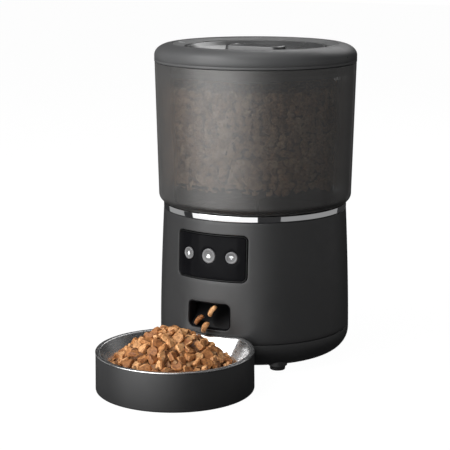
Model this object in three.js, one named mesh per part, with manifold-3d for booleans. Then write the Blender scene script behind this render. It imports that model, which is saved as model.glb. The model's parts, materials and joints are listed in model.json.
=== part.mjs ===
// An automatic pet feeder: a round base with a drive, a control panel and a food mouth, a see-through tank
// with a locking lid on top, and a steel bowl in a tray that docks against the front of the base.
// Millimetres, +Z up, front towards -Y. The frame's origin is the middle of the footprint, on the floor.
import * as THREE from "three";
import { mergeVertices } from "three/addons/utils/BufferGeometryUtils.js";
import Module from "manifold-3d";

const wasm = await Module();
wasm.setup();

// ---------------------------------------------------------------- Driving sizes

// Fits
const GAP = 0.3; // between two pieces that meet
const LOOSE = 0.6; // round what turns or slides
const WALL = 2.5; // moulded walls

// Facets
const SIDES = 40; // of the large turned shapes
const FINE = 20; // of wheels, buttons and bosses that show
const COARSE = 8; // of screws and pins

// Heights, from the floor up
const FOOT_HEIGHT = 4;
const COVER_HEIGHT = 24.5;
const SHELL_HEIGHT = 116.5;
const RING_HEIGHT = 5.7;
const TANK_HEIGHT = 136.2;
const LID_HEIGHT = 17.2;

// Radii about the feeder's axis
const BASE_RADIUS = 93.8; // at the seam between cover and shell
const SHELL_TAPER = 4; // the shell is this much narrower at its top
const TANK_BULGE = 4.7; // the tank's foot stands out this far past the shell's top
const TANK_FLARE = 3.3; // and its rim this much further
const LID_OVERHANG = 0.3;

// Base
const COVER_CORNER = 20;
const COVER_LIP = 2.7; // height of the lip that centres the shell
const FOOT_RADIUS = 7.5;
const FOOT_SEAT = 1.5; // depth of a foot's seat in the cover
const FOOT_INSET = 15.8; // from the base's radius to the circle of feet
const SCREW_RADIUS = 1.6;
const SCREW_HEAD_RADIUS = 3.3;
const SCREW_HEAD_HEIGHT = 2;
const BOSS_WALL = 3.2; // plastic round a screw hole
const DECK_THICKNESS = 3;
const DECK_SCREW_INSET = 15.8; // from the shell's top radius to the circle of deck screws
const COLLAR_HEIGHT = 4.5;
const RING_WIDTH = 2.9;

// Front panel
const PANEL_WIDTH = 71.6;
const PANEL_HEIGHT = 40.8;
const PANEL_CORNER = 3.5;
const PANEL_DROP = 34.4; // from the shell's top to the panel's middle
const BEZEL_WIDTH = 1.5;
const BEZEL_FLANGE = 3; // how far the bezel reaches behind the shell
const BUTTON_RISE = 1.1; // buttons' middle above the panel's
const BUTTON_SPACING = 23;
const SIDE_BUTTON_RADIUS = 5.7;
const FEED_BUTTON_RADIUS = 7;
const BUTTON_TRAVEL = 1;
const SWITCH_DEPTH = 5.5;
const BOARD_THICKNESS = 1.6;

// Food path
const MOUTH_WIDTH = 46;
const MOUTH_HEIGHT = 26;
const MOUTH_CORNER = 5.5;
const MOUTH_Z = 54; // middle of the mouth
const CHUTE_WALL = 2;
const CHUTE_INSET = 21.8; // from the shell's top radius to the chute's front wall
const OUTLET_DEPTH = 30; // front to back
const OUTLET_WIDTH = 44;

// Drive
const SHAFT_RADIUS = 4;
const TOOTH_MODULE = 1.5;
const GEAR_TEETH = 42;
const PINION_TEETH = 14;
const PRESSURE_ANGLE = THREE.MathUtils.degToRad(25);
const TOOTH_BACKLASH = 0.35;
const GEAR_THICKNESS = 8;
const GEARBOX_RADIUS = 18.5;
const GEARBOX_HEIGHT = 17.8;
const MOTOR_RADIUS = 13;
const MOTOR_LENGTH = 32;
const BRACKET_DROP = 32; // from the deck's underside to the bracket plate's
const BRACKET_THICKNESS = 3;
const DOG_HEIGHT = 9; // hexagon that drives the impeller
const PADDLES = 6;
const PADDLE_HEIGHT = 17.1;
const PADDLE_THICKNESS = 3;

// Power and electronics
const CELL_DIAMETER = 34.2; // three D cells side by side
const CELL_LENGTH = 61.5;
const CELLS = 3;
const DOOR_THICKNESS = 2;
const SPEAKER_RADIUS = 18;
const JACK_RADIUS = 5.5;

// Tank
const TANK_CORNER = 8;
const TANK_FLOOR = 3;
const SPIGOT_DEPTH = 6.1;

// Lid and knob
const SHOULDER_WIDTH = 17;
const SHOULDER_HEIGHT = 11;
const LAND_WIDTH = 12.4; // of the land that slopes from the shoulder in to the dish
const LAND_DROP = 2.6;
const DISH_DEPTH = 13.5;
const SKIRT_DEPTH = 10.8; // how far the lid reaches into the tank
const STEM_RADIUS = 7.6;
const GRIP_LENGTH = 58;
const GRIP_WIDTH = 24;

// Bowl and tray
const TRAY_RADIUS = 73;
const TRAY_HEIGHT = 35;
const TRAY_WALL = 2.4;
const BOWL_OVERLAP = 14.2; // how far the base bites into the tray's circle
const DOCK_GAP = 0.8; // between base and tray
const HORN_RADIUS = 9; // corners where the tray meets the base
const BOWL_FLOOR_RADIUS = 46;
const BOWL_FLOOR_Z = 9;
const BOWL_SHEET = 1;
const RIM_HEIGHT = 1.4;
const TONGUE_WIDTH = 40;
const TONGUE_LENGTH = 29;
const TONGUE_Z = 10;
const TONGUE_THICKNESS = 3.5;

// ---------------------------------------------------------------- Levels and places worked out from them

const SEAM_Z = FOOT_HEIGHT + COVER_HEIGHT;
const SHELL_TOP = SEAM_Z + SHELL_HEIGHT;
const RING_Z = SHELL_TOP + GAP;
const TANK_Z = RING_Z + RING_HEIGHT + GAP;
const TANK_TOP = TANK_Z + TANK_HEIGHT;
const LID_Z = TANK_TOP + GAP;
const LID_TOP = LID_Z + LID_HEIGHT;
const NECK_RADIUS = BASE_RADIUS - SHELL_TAPER;
const TANK_FOOT_RADIUS = NECK_RADIUS + TANK_BULGE;
const TANK_RADIUS = TANK_FOOT_RADIUS + TANK_FLARE;
const LID_RADIUS = TANK_RADIUS + LID_OVERHANG;
const BOWL_DISTANCE = BASE_RADIUS + TRAY_RADIUS - BOWL_OVERLAP;
const AXIS_Y = (BOWL_DISTANCE + TRAY_RADIUS - LID_RADIUS) / 2;

const HOLE_RADIUS = SCREW_RADIUS + GAP;
const BOSS_RADIUS = HOLE_RADIUS + BOSS_WALL;
const COVER_INSIDE_Z = FOOT_HEIGHT + WALL;
const FOOT_CIRCLE = BASE_RADIUS - FOOT_INSET;
const FOOT_ANGLES = [45, 135, 225, 315].map(THREE.MathUtils.degToRad);
const DECK_Z = SHELL_TOP - DECK_THICKNESS;
const DECK_SCREW_CIRCLE = NECK_RADIUS - DECK_SCREW_INSET;
const DECK_SCREW_ANGLES = [60, 180, 300].map(THREE.MathUtils.degToRad);
const PANEL_Z = SHELL_TOP - PANEL_DROP;
const BUTTON_Z = PANEL_Z + BUTTON_RISE;
const BUTTONS = [
  { name: "record_button", x: -BUTTON_SPACING, radius: SIDE_BUTTON_RADIUS },
  { name: "feed_button", x: 0, radius: FEED_BUTTON_RADIUS },
  { name: "wifi_button", x: BUTTON_SPACING, radius: SIDE_BUTTON_RADIUS },
];
const BRACKET_Z = DECK_Z - BRACKET_DROP;
const BRACKET_TOP = BRACKET_Z + BRACKET_THICKNESS;
const MOTOR_Y = (TOOTH_MODULE * (GEAR_TEETH + PINION_TEETH)) / 2;
const GEAR_Z = BRACKET_TOP + 5;
const CHUTE_FRONT = NECK_RADIUS - CHUTE_INSET;
const CHUTE_BACK = CHUTE_FRONT - OUTLET_DEPTH;
const DOG_RADIUS = SHAFT_RADIUS + 3;
const SOCKET_RADIUS = DOG_RADIUS + LOOSE;
const ROTOR_COLLAR = SOCKET_RADIUS + 4.4;
const ROTOR_HUB = ROTOR_COLLAR + 4;
const TANK_FLOOR_TOP = TANK_Z + TANK_FLOOR;
const ROTOR_Z = TANK_FLOOR_TOP + GAP;
const ROTOR_TOP = ROTOR_Z + PADDLE_HEIGHT + 4.3;

// ---------------------------------------------------------------- Shapes

const degrees = THREE.MathUtils.degToRad;

// A three.js geometry as a solid that can be joined and cut.
function solidOf(geometry) {
  const bare = new THREE.BufferGeometry();
  bare.setAttribute("position", geometry.getAttribute("position"));
  bare.setIndex(geometry.index);
  const merged = mergeVertices(bare, 1e-4);
  const corners = merged.index.array;
  const triangles = [];
  for (let i = 0; i < corners.length; i += 3) {
    const [a, b, c] = corners.slice(i, i + 3);
    if (a !== b && b !== c && c !== a) triangles.push(a, b, c);
  }
  const mesh = new wasm.Mesh({
    numProp: 3,
    vertProperties: merged.attributes.position.array,
    triVerts: new Uint32Array(triangles),
  });
  return new wasm.Manifold(mesh);
}

// A solid as a three.js geometry.
function geometryOf(solid) {
  const mesh = solid.getMesh();
  const geometry = new THREE.BufferGeometry();
  geometry.setAttribute("position", new THREE.BufferAttribute(mesh.vertProperties, 3));
  geometry.setIndex(new THREE.BufferAttribute(mesh.triVerts, 1));
  geometry.computeVertexNormals();
  return geometry;
}

const join = (...solids) => solids.reduce((whole, solid) => whole.add(solid));
const cut = (body, ...tools) => tools.reduce((rest, tool) => rest.subtract(tool), body);
const meet = (one, other) => one.intersect(other);

// Points of an arc, both ends included. A second radius makes it an ellipse's.
function arc(x, y, radius, from, to, steps, radiusY = radius) {
  return Array.from({ length: steps + 1 }, (_, i) => {
    const angle = from + ((to - from) * i) / steps;
    return [x + radius * Math.cos(angle), y + radiusY * Math.sin(angle)];
  });
}

function circle(radius, x = 0, y = 0, sides = FINE) {
  return arc(x, y, radius, 0, 2 * Math.PI, sides).slice(0, -1);
}

function roundedRectangle(width, height, radius, x = 0, y = 0, steps = 4) {
  const dx = width / 2 - radius;
  const dy = height / 2 - radius;
  return [
    ...arc(x + dx, y - dy, radius, -Math.PI / 2, 0, steps),
    ...arc(x + dx, y + dy, radius, 0, Math.PI / 2, steps),
    ...arc(x - dx, y + dy, radius, Math.PI / 2, Math.PI, steps),
    ...arc(x - dx, y - dy, radius, Math.PI, 1.5 * Math.PI, steps),
  ];
}

// A place on a circle about the axis. Angle 0 is the front, and it grows towards +X.
function around(radius, angle) {
  return [radius * Math.sin(angle), -radius * Math.cos(angle)];
}

// Turns a [radius, height] outline about the Z axis.
function revolve(outline, sides = SIDES) {
  const points = outline.map(([r, z]) => new THREE.Vector2(r, z));
  if (THREE.ShapeUtils.area(points) < 0) points.reverse();
  if (points[0].x > 0) points.push(points[0].clone());
  return solidOf(new THREE.LatheGeometry(points, sides).rotateX(Math.PI / 2));
}

function extrusion(outline, depth) {
  const shape = new THREE.Shape(outline.map(([x, y]) => new THREE.Vector2(x, y)));
  return new THREE.ExtrudeGeometry(shape, { depth, bevelEnabled: false });
}

// An [x, y] outline raised from one height to another.
function slab(outline, bottom, top) {
  return solidOf(extrusion(outline, top - bottom).translate(0, 0, bottom));
}

// An [x, z] outline drawn from front to back.
function frontPrism(outline, front, back) {
  return solidOf(extrusion(outline, back - front).rotateX(Math.PI / 2).translate(0, back, 0));
}

// A [y, z] outline drawn from left to right.
function sidePrism(outline, halfWidth) {
  const turn = new THREE.Matrix4().makeBasis(
    new THREE.Vector3(0, 1, 0),
    new THREE.Vector3(0, 0, 1),
    new THREE.Vector3(1, 0, 0),
  );
  const geometry = extrusion(outline, 2 * halfWidth).applyMatrix4(turn);
  return solidOf(geometry.translate(-halfWidth, 0, 0));
}

function post([x, y], radius, bottom, top, sides = COARSE) {
  return slab(circle(radius, x, y, sides), bottom, top);
}

function block(width, depth, [x, y], bottom, top) {
  const geometry = new THREE.BoxGeometry(width, depth, top - bottom);
  return solidOf(geometry.translate(x, y, (bottom + top) / 2));
}

// A straight wall that runs out from the axis.
function spoke(angle, width, inner, outer, bottom, top) {
  const side = [Math.cos(angle) * (width / 2), Math.sin(angle) * (width / 2)];
  const near = around(inner, angle);
  const far = around(outer, angle);
  const outline = [
    [near[0] + side[0], near[1] + side[1]],
    [near[0] - side[0], near[1] - side[1]],
    [far[0] - side[0], far[1] - side[1]],
    [far[0] + side[0], far[1] + side[1]],
  ];
  return slab(outline, bottom, top);
}

// A skin over outlines of equal length, from the first ring to the last, closed at both ends.
function skin(rings) {
  const count = rings[0].outline.length;
  const positions = rings.flatMap(({ outline, z }) => outline.flatMap(([x, y]) => [x, y, z]));
  const index = [];
  for (let ring = 0; ring + 1 < rings.length; ring++) {
    for (let i = 0; i < count; i++) {
      const a = ring * count + i;
      const b = ring * count + ((i + 1) % count);
      index.push(a, b, b + count, a, b + count, a + count);
    }
  }
  const capOf = ({ outline }) =>
    THREE.ShapeUtils.triangulateShape(outline.map(([x, y]) => new THREE.Vector2(x, y)), []);
  const last = (rings.length - 1) * count;
  for (const [a, b, c] of capOf(rings[0])) index.push(c, b, a);
  for (const [a, b, c] of capOf(rings.at(-1))) index.push(last + a, last + b, last + c);
  const geometry = new THREE.BufferGeometry();
  geometry.setAttribute("position", new THREE.Float32BufferAttribute(positions, 3));
  geometry.setIndex(index);
  return solidOf(geometry);
}

// A screw along Z with its head's underside at 0 and its shaft below. A cross is sunk in the head.
function screw(length) {
  const body = revolve(
    [
      [0, -length],
      [SCREW_RADIUS * 0.5, -length],
      [SCREW_RADIUS, 1.5 - length],
      [SCREW_RADIUS, 0],
      [SCREW_HEAD_RADIUS, 0],
      [SCREW_HEAD_RADIUS, SCREW_HEAD_HEIGHT * 0.6],
      [SCREW_HEAD_RADIUS * 0.75, SCREW_HEAD_HEIGHT],
      [0, SCREW_HEAD_HEIGHT],
    ],
    COARSE,
  );
  const slotLength = SCREW_HEAD_RADIUS;
  const slotWidth = SCREW_HEAD_RADIUS / 4;
  const slotFloor = SCREW_HEAD_HEIGHT / 2;
  return cut(
    body,
    block(slotLength, slotWidth, [0, 0], slotFloor, SCREW_HEAD_HEIGHT + 1),
    block(slotWidth, slotLength, [0, 0], slotFloor, SCREW_HEAD_HEIGHT + 1),
  );
}

// ---------------------------------------------------------------- Scene graph

function finish(color, roughness, metalness, opacity = 1) {
  return new THREE.MeshStandardMaterial({
    color,
    roughness,
    metalness,
    opacity,
    transparent: opacity < 1,
  });
}

const charcoal = finish(0x45464a, 0.55, 0);
const charcoalDark = finish(0x2c2d30, 0.6, 0);
const smoke = finish(0x4a453f, 0.2, 0, 0.6);
const chrome = finish(0xd8dadd, 0.08, 1);
const steel = finish(0xb9bcc0, 0.3, 1);
const glossBlack = finish(0x0b0c0e, 0.12, 0);
const buttonGrey = finish(0x8c8f94, 0.4, 0);
const blackPlastic = finish(0x1b1c1e, 0.6, 0);
const rubber = finish(0x26272a, 0.9, 0);
const whitePlastic = finish(0xe4e2da, 0.5, 0);
const circuit = finish(0x1f6b3a, 0.5, 0);
const zinc = finish(0x9a9da1, 0.35, 1);

const root = new THREE.Group();
const feeder = new THREE.Group();
feeder.position.y = AXIS_Y;
root.add(feeder);

function addBody(parent) {
  const group = new THREE.Group();
  parent.add(group);
  return group;
}

const base = addBody(feeder);
const drive = addBody(base);
const pinion = addBody(base);
const tank = addBody(base);
const rotor = addBody(tank);
const lid = addBody(tank);
const knob = addBody(lid);
const tray = addBody(base);
const bowl = addBody(tray);
const batteryDoor = addBody(base);

function addPiece(body, name, solid, material, place = [0, 0, 0], turn = [0, 0, 0]) {
  const mesh = new THREE.Mesh(geometryOf(solid), material);
  mesh.name = name;
  mesh.position.set(...place);
  mesh.rotation.set(...turn);
  body.add(mesh);
}

// ---------------------------------------------------------------- Base: shell, cover, feet

// The shell's outside, which narrows towards its top, slowly at first.
function shellRadius(z) {
  const rise = THREE.MathUtils.clamp((z - SEAM_Z) / SHELL_HEIGHT, 0, 1);
  return BASE_RADIUS - SHELL_TAPER * rise ** 1.5;
}

// A ring that follows the shell between two offsets from its outside. An inner offset of null fills it.
function shellLayer(innerOffset, outerOffset, bottom = SEAM_Z, top = SHELL_TOP, steps = 6) {
  const levels = Array.from({ length: steps + 1 }, (_, i) => bottom + ((top - bottom) * i) / steps);
  const outside = levels.map((z) => [shellRadius(z) + outerOffset, z]);
  if (innerOffset === null) return revolve([[0, bottom], ...outside, [0, top]]);
  const inside = levels.map((z) => [shellRadius(z) + innerOffset, z]).reverse();
  return revolve([...outside, ...inside]);
}

function shellBosses() {
  const webStart = SEAM_Z + COVER_LIP + 1;
  const lowerTop = SEAM_Z + 21.5;
  const upperBottom = DECK_Z - 17;
  const upperTop = DECK_Z - GAP;
  const lower = FOOT_ANGLES.map((angle) =>
    join(
      post(around(FOOT_CIRCLE, angle), BOSS_RADIUS, SEAM_Z, lowerTop),
      spoke(angle, WALL, FOOT_CIRCLE + BOSS_RADIUS / 2, BASE_RADIUS - WALL + 0.5, webStart, lowerTop),
    ),
  );
  const upper = DECK_SCREW_ANGLES.map((angle) =>
    join(
      post(around(DECK_SCREW_CIRCLE, angle), BOSS_RADIUS, upperBottom, upperTop),
      spoke(angle, WALL, DECK_SCREW_CIRCLE + BOSS_RADIUS / 2, NECK_RADIUS - WALL / 2, upperBottom, upperTop),
    ),
  );
  return join(...lower, ...upper);
}

function shellScrewHoles() {
  const lower = FOOT_ANGLES.map((angle) =>
    post(around(FOOT_CIRCLE, angle), HOLE_RADIUS, SEAM_Z - 1, SEAM_Z + 16),
  );
  const upper = DECK_SCREW_ANGLES.map((angle) =>
    post(around(DECK_SCREW_CIRCLE, angle), HOLE_RADIUS, DECK_Z - 14, DECK_Z + 1),
  );
  return join(...lower, ...upper);
}

const SPEAKER_Z = SEAM_Z + 66.5;
const JACK_Z = SEAM_Z + 13.5;
const HOLE_START = NECK_RADIUS - 20; // cuts through the shell reach from here to past its outside
const HOLE_END = BASE_RADIUS + 5;

function speakerGrille() {
  const slotPitch = 6;
  const slots = [-2, -1, 0, 1, 2].map((step) => {
    const x = step * slotPitch;
    const height = 2 * Math.sqrt((SPEAKER_RADIUS - 3) ** 2 - x ** 2);
    return frontPrism(roundedRectangle(2.4, height, 1.1, x, SPEAKER_Z), HOLE_START, HOLE_END);
  });
  return join(...slots);
}

const PANEL_OPENING = BEZEL_WIDTH + 2 * GAP; // from the panel's edge to the shell's

function panelOutline(growth) {
  const width = PANEL_WIDTH + 2 * growth;
  const height = PANEL_HEIGHT + 2 * growth;
  return roundedRectangle(width, height, PANEL_CORNER + growth, 0, PANEL_Z);
}

function bodyShell() {
  const mouth = roundedRectangle(MOUTH_WIDTH, MOUTH_HEIGHT, MOUTH_CORNER, 0, MOUTH_Z);
  return cut(
    join(shellLayer(-WALL, 0), shellBosses()),
    shellScrewHoles(),
    frontPrism(panelOutline(PANEL_OPENING), -HOLE_END, -HOLE_START),
    frontPrism(mouth, -HOLE_END, -HOLE_START),
    speakerGrille(),
    frontPrism(circle(JACK_RADIUS + GAP, 0, JACK_Z), HOLE_START, HOLE_END),
  );
}

const BAY_WIDTH = CELLS * CELL_DIAMETER + 1.4;
const BAY_DEPTH = CELL_LENGTH + 6.5;
const BAY_Y = 10;
const DOOR_WIDTH = BAY_WIDTH - 4.8;
const DOOR_DEPTH = BAY_DEPTH - 8.8;

function baseCover() {
  const middleR = BASE_RADIUS - COVER_CORNER;
  const middleZ = FOOT_HEIGHT + COVER_CORNER;
  const top = SEAM_Z - GAP;
  const lipRadius = BASE_RADIUS - WALL - GAP;
  const bowl = revolve([
    [0, FOOT_HEIGHT],
    ...arc(middleR, middleZ, COVER_CORNER, -Math.PI / 2, 0, 5),
    [BASE_RADIUS, top],
    [lipRadius, top],
    [lipRadius, SEAM_Z + COVER_LIP],
    [lipRadius - 1.5, SEAM_Z + COVER_LIP],
    [lipRadius - 1.5, middleZ + 2],
    ...arc(middleR, middleZ, COVER_CORNER - WALL, 0, -Math.PI / 2, 4),
    [0, COVER_INSIDE_Z],
  ]);
  const places = FOOT_ANGLES.map((angle) => around(FOOT_CIRCLE, angle));
  const sockets = places.map((at) => post(at, FOOT_RADIUS + 1.8, FOOT_HEIGHT, FOOT_HEIGHT + 6, FINE));
  const bosses = places.map((at) => post(at, BOSS_RADIUS + 0.5, FOOT_HEIGHT + FOOT_SEAT + 1, top));
  const seats = places.map((at) => post(at, FOOT_RADIUS + GAP, 0, FOOT_HEIGHT + FOOT_SEAT, FINE));
  const headTop = FOOT_HEIGHT + FOOT_SEAT + GAP + SCREW_HEAD_HEIGHT + GAP;
  const headHoles = places.map((at) => post(at, SCREW_HEAD_RADIUS + GAP, 0, headTop));
  const screwHoles = places.map((at) => post(at, HOLE_RADIUS, 0, SEAM_Z + 1));
  const tongueSlot = block(
    TONGUE_WIDTH + 2 * LOOSE,
    30,
    [0, -BASE_RADIUS + 5],
    TONGUE_Z - LOOSE,
    TONGUE_Z + TONGUE_THICKNESS + LOOSE,
  );
  return cut(
    join(bowl, ...sockets, ...bosses),
    ...seats,
    ...headHoles,
    ...screwHoles,
    tongueSlot,
    block(DOOR_WIDTH + 2 * LOOSE, DOOR_DEPTH + 2 * LOOSE, [0, BAY_Y], 0, COVER_INSIDE_Z + 1),
  );
}

addPiece(base, "body_shell", bodyShell(), charcoal);
addPiece(base, "base_cover", baseCover(), charcoal);

const footTop = FOOT_HEIGHT + FOOT_SEAT - GAP;
const foot = revolve(
  [
    [0, 0],
    [FOOT_RADIUS - 0.8, 0],
    [FOOT_RADIUS, 0.8],
    [FOOT_RADIUS, footTop],
    [0, footTop],
  ],
  FINE,
);
const coverScrewHead = FOOT_HEIGHT + FOOT_SEAT + GAP + SCREW_HEAD_HEIGHT;
FOOT_ANGLES.forEach((angle, i) => {
  const [x, y] = around(FOOT_CIRCLE, angle);
  addPiece(base, `foot_${i + 1}`, foot, rubber, [x, y, 0]);
  const length = SEAM_Z + 12 - coverScrewHead;
  addPiece(base, `cover_screw_${i + 1}`, screw(length), zinc, [x, y, coverScrewHead], [Math.PI, 0, 0]);
});

// ---------------------------------------------------------------- Base: ring and deck

const RING_INSIDE = NECK_RADIUS - RING_WIDTH;
const COLLAR_RADIUS = RING_INSIDE - GAP - 0.1;
const COLLAR_INSIDE = COLLAR_RADIUS - WALL;
const SEAL_RADIUS = SHAFT_RADIUS + 4.7;
const BRACKET_POSTS = [
  [-38, -8],
  [38, -8],
  [0, MOTOR_Y + 20],
];

function trimRing() {
  const bead = 0.8;
  const top = RING_Z + RING_HEIGHT;
  return revolve([
    [RING_INSIDE, RING_Z],
    [NECK_RADIUS - bead, RING_Z],
    [NECK_RADIUS, RING_Z + bead],
    [NECK_RADIUS, top - bead],
    [NECK_RADIUS - bead, top],
    [RING_INSIDE, top],
  ]);
}

function deck() {
  const edge = shellRadius(DECK_Z) - WALL - 0.5;
  const plate = revolve([
    [SEAL_RADIUS + GAP, DECK_Z],
    [edge, DECK_Z],
    [edge, SHELL_TOP],
    [COLLAR_RADIUS, SHELL_TOP],
    [COLLAR_RADIUS, SHELL_TOP + COLLAR_HEIGHT],
    [COLLAR_INSIDE, SHELL_TOP + COLLAR_HEIGHT],
    [COLLAR_INSIDE, SHELL_TOP],
    [SEAL_RADIUS + GAP, SHELL_TOP],
  ]);
  const screwPlaces = [
    ...DECK_SCREW_ANGLES.map((angle) => around(DECK_SCREW_CIRCLE, angle)),
    ...BRACKET_POSTS.slice(0, 2),
  ];
  const screwHoles = screwPlaces.map((at) => post(at, HOLE_RADIUS, DECK_Z - 1, SHELL_TOP + 1));
  const outletY = -(CHUTE_FRONT + CHUTE_BACK) / 2;
  const outlet = block(MOUTH_WIDTH, OUTLET_DEPTH, [0, outletY], DECK_Z - 1, SHELL_TOP + 1);
  return cut(plate, outlet, ...screwHoles);
}

addPiece(base, "trim_ring", trimRing(), chrome);
addPiece(base, "deck", deck(), charcoalDark);
DECK_SCREW_ANGLES.forEach((angle, i) => {
  const [x, y] = around(DECK_SCREW_CIRCLE, angle);
  addPiece(base, `deck_screw_${i + 1}`, screw(13), zinc, [x, y, SHELL_TOP + GAP]);
});

// ---------------------------------------------------------------- Base: chute and food sensor

// The passage falls straight from the deck, then slopes at 45 degrees out to the mouth.
function chute() {
  const top = DECK_Z - GAP;
  const mouthTop = MOUTH_Z + MOUTH_HEIGHT / 2;
  const mouthBottom = MOUTH_Z - MOUTH_HEIGHT / 2;
  const mouthY = shellRadius(mouthTop) - WALL;
  const far = HOLE_END;
  const outline = (grow, rise) => {
    const slant = grow * Math.SQRT2;
    return [
      [-CHUTE_FRONT - grow, top + rise],
      [-CHUTE_FRONT - grow, mouthTop + mouthY - CHUTE_FRONT - grow + slant],
      [-far, mouthTop + mouthY - far + slant],
      [-far, mouthBottom + mouthY - far - slant],
      [-CHUTE_BACK + grow, mouthBottom + mouthY - CHUTE_BACK + grow - slant],
      [-CHUTE_BACK + grow, top + rise],
    ];
  };
  const flange = block(
    MOUTH_WIDTH + 2 * CHUTE_WALL + 8,
    OUTLET_DEPTH + 2 * CHUTE_WALL + 6,
    [0, -(CHUTE_FRONT + CHUTE_BACK) / 2],
    top - CHUTE_WALL,
    top,
  );
  const duct = sidePrism(outline(CHUTE_WALL, 0), MOUTH_WIDTH / 2 + CHUTE_WALL);
  const passage = sidePrism(outline(0, 1), MOUTH_WIDTH / 2);
  const beamHole = post([0, 0], 2, -40, 40);
  const beam = solidOf(
    geometryOf(beamHole).rotateY(Math.PI / 2).translate(0, SENSOR_Y, SENSOR_Z),
  );
  return cut(meet(join(duct, flange), shellLayer(null, -WALL - GAP)), passage, beam);
}

const SENSOR_Y = -(CHUTE_BACK + CHUTE_FRONT) / 2 - 3;
const SENSOR_Z = DECK_Z - 34;

addPiece(base, "chute", chute(), blackPlastic);
for (const [name, side] of [
  ["ir_emitter", -1],
  ["ir_receiver", 1],
]) {
  const x = side * (MOUTH_WIDTH / 2 + CHUTE_WALL + GAP + 3);
  addPiece(base, name, block(6, 8, [0, 0], -4, 4), blackPlastic, [x, SENSOR_Y, SENSOR_Z]);
}

// ---------------------------------------------------------------- Base: control panel

const BUTTON_BACK = shellRadius(BUTTON_Z) - 11; // distance from the axis to the buttons' inner ends
const BUTTON_FLANGE = 1.2;
const SWITCH_FRONT = BUTTON_BACK - BUTTON_TRAVEL - GAP;
const BOARD_FRONT = SWITCH_FRONT - SWITCH_DEPTH;

function panelBezel() {
  const back = -WALL - 2;
  const frame = cut(
    meet(frontPrism(panelOutline(GAP + BEZEL_WIDTH), -HOLE_END, -HOLE_START), shellLayer(back, 0.4)),
    frontPrism(panelOutline(GAP), -HOLE_END, -HOLE_START),
  );
  const flange = cut(
    meet(
      frontPrism(panelOutline(GAP + BEZEL_WIDTH + BEZEL_FLANGE), -HOLE_END, -HOLE_START),
      shellLayer(back, -WALL - GAP),
    ),
    frontPrism(panelOutline(-1.3), -HOLE_END, -HOLE_START),
  );
  return join(frame, flange);
}

function panelWindow() {
  const holes = BUTTONS.map(({ x, radius }) =>
    frontPrism(circle(radius + GAP, x, BUTTON_Z), -HOLE_END, -HOLE_START),
  );
  const face = meet(frontPrism(panelOutline(0), -HOLE_END, -HOLE_START), shellLayer(-WALL, 0.2));
  return cut(face, ...holes);
}

function button({ x, radius }) {
  const cap = frontPrism(circle(radius, x, BUTTON_Z), -HOLE_END, -BUTTON_BACK);
  const flange = frontPrism(
    circle(radius + BUTTON_FLANGE, x, BUTTON_Z),
    -BUTTON_BACK - BUTTON_FLANGE,
    -BUTTON_BACK,
  );
  return join(meet(cap, shellLayer(null, 0.7)), flange);
}

addPiece(base, "panel_bezel", panelBezel(), charcoalDark);
addPiece(base, "panel_window", panelWindow(), glossBlack);
BUTTONS.forEach((spec, i) => {
  addPiece(addBody(base), spec.name, button(spec), buttonGrey);
  const front = -SWITCH_FRONT;
  const tact = join(
    block(6, SWITCH_DEPTH - 2.5, [0, front + 2.5 + (SWITCH_DEPTH - 2.5) / 2], -3, 3),
    frontPrism(circle(1.7, 0, 0, COARSE), front, front + 3),
  );
  addPiece(base, `tact_switch_${i + 1}`, tact, blackPlastic, [spec.x, -GAP, BUTTON_Z]);
});

function buttonBoard() {
  const outline = roundedRectangle(2 * BUTTON_SPACING + 20, PANEL_HEIGHT - 8, 2, 0, PANEL_Z, 2);
  return frontPrism(outline, -BOARD_FRONT, -BOARD_FRONT + BOARD_THICKNESS);
}

addPiece(base, "button_board", buttonBoard(), circuit);

// ---------------------------------------------------------------- Drive: bracket, motor, gears, shaft

const BUSH_RADIUS = SHAFT_RADIUS + 3;
const BUSH_FLANGE = 1.5;
const PINION_STUB = 3;
const MOTOR_SCREW_X = 13;

function gearBracket() {
  const front = -16;
  const back = MOTOR_Y + 24;
  const outline = roundedRectangle(88, back - front, 6, 0, (front + back) / 2);
  const plate = slab(outline, BRACKET_Z, BRACKET_TOP);
  const posts = BRACKET_POSTS.map((at) => post(at, 3.5, BRACKET_Z, DECK_Z - GAP));
  const pilots = BRACKET_POSTS.slice(0, 2).map((at) => post(at, HOLE_RADIUS, DECK_Z - 12, DECK_Z));
  const motorHoles = [-MOTOR_SCREW_X, MOTOR_SCREW_X].map((x) =>
    post([x, MOTOR_Y], HOLE_RADIUS, BRACKET_Z - 1, BRACKET_TOP + 1),
  );
  return cut(
    join(plate, ...posts),
    ...pilots,
    ...motorHoles,
    post([0, 0], BUSH_RADIUS + GAP, BRACKET_Z - 1, BRACKET_TOP + 1, FINE),
    post([0, MOTOR_Y], PINION_STUB + 1, BRACKET_Z - 1, BRACKET_TOP + 1),
  );
}

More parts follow.
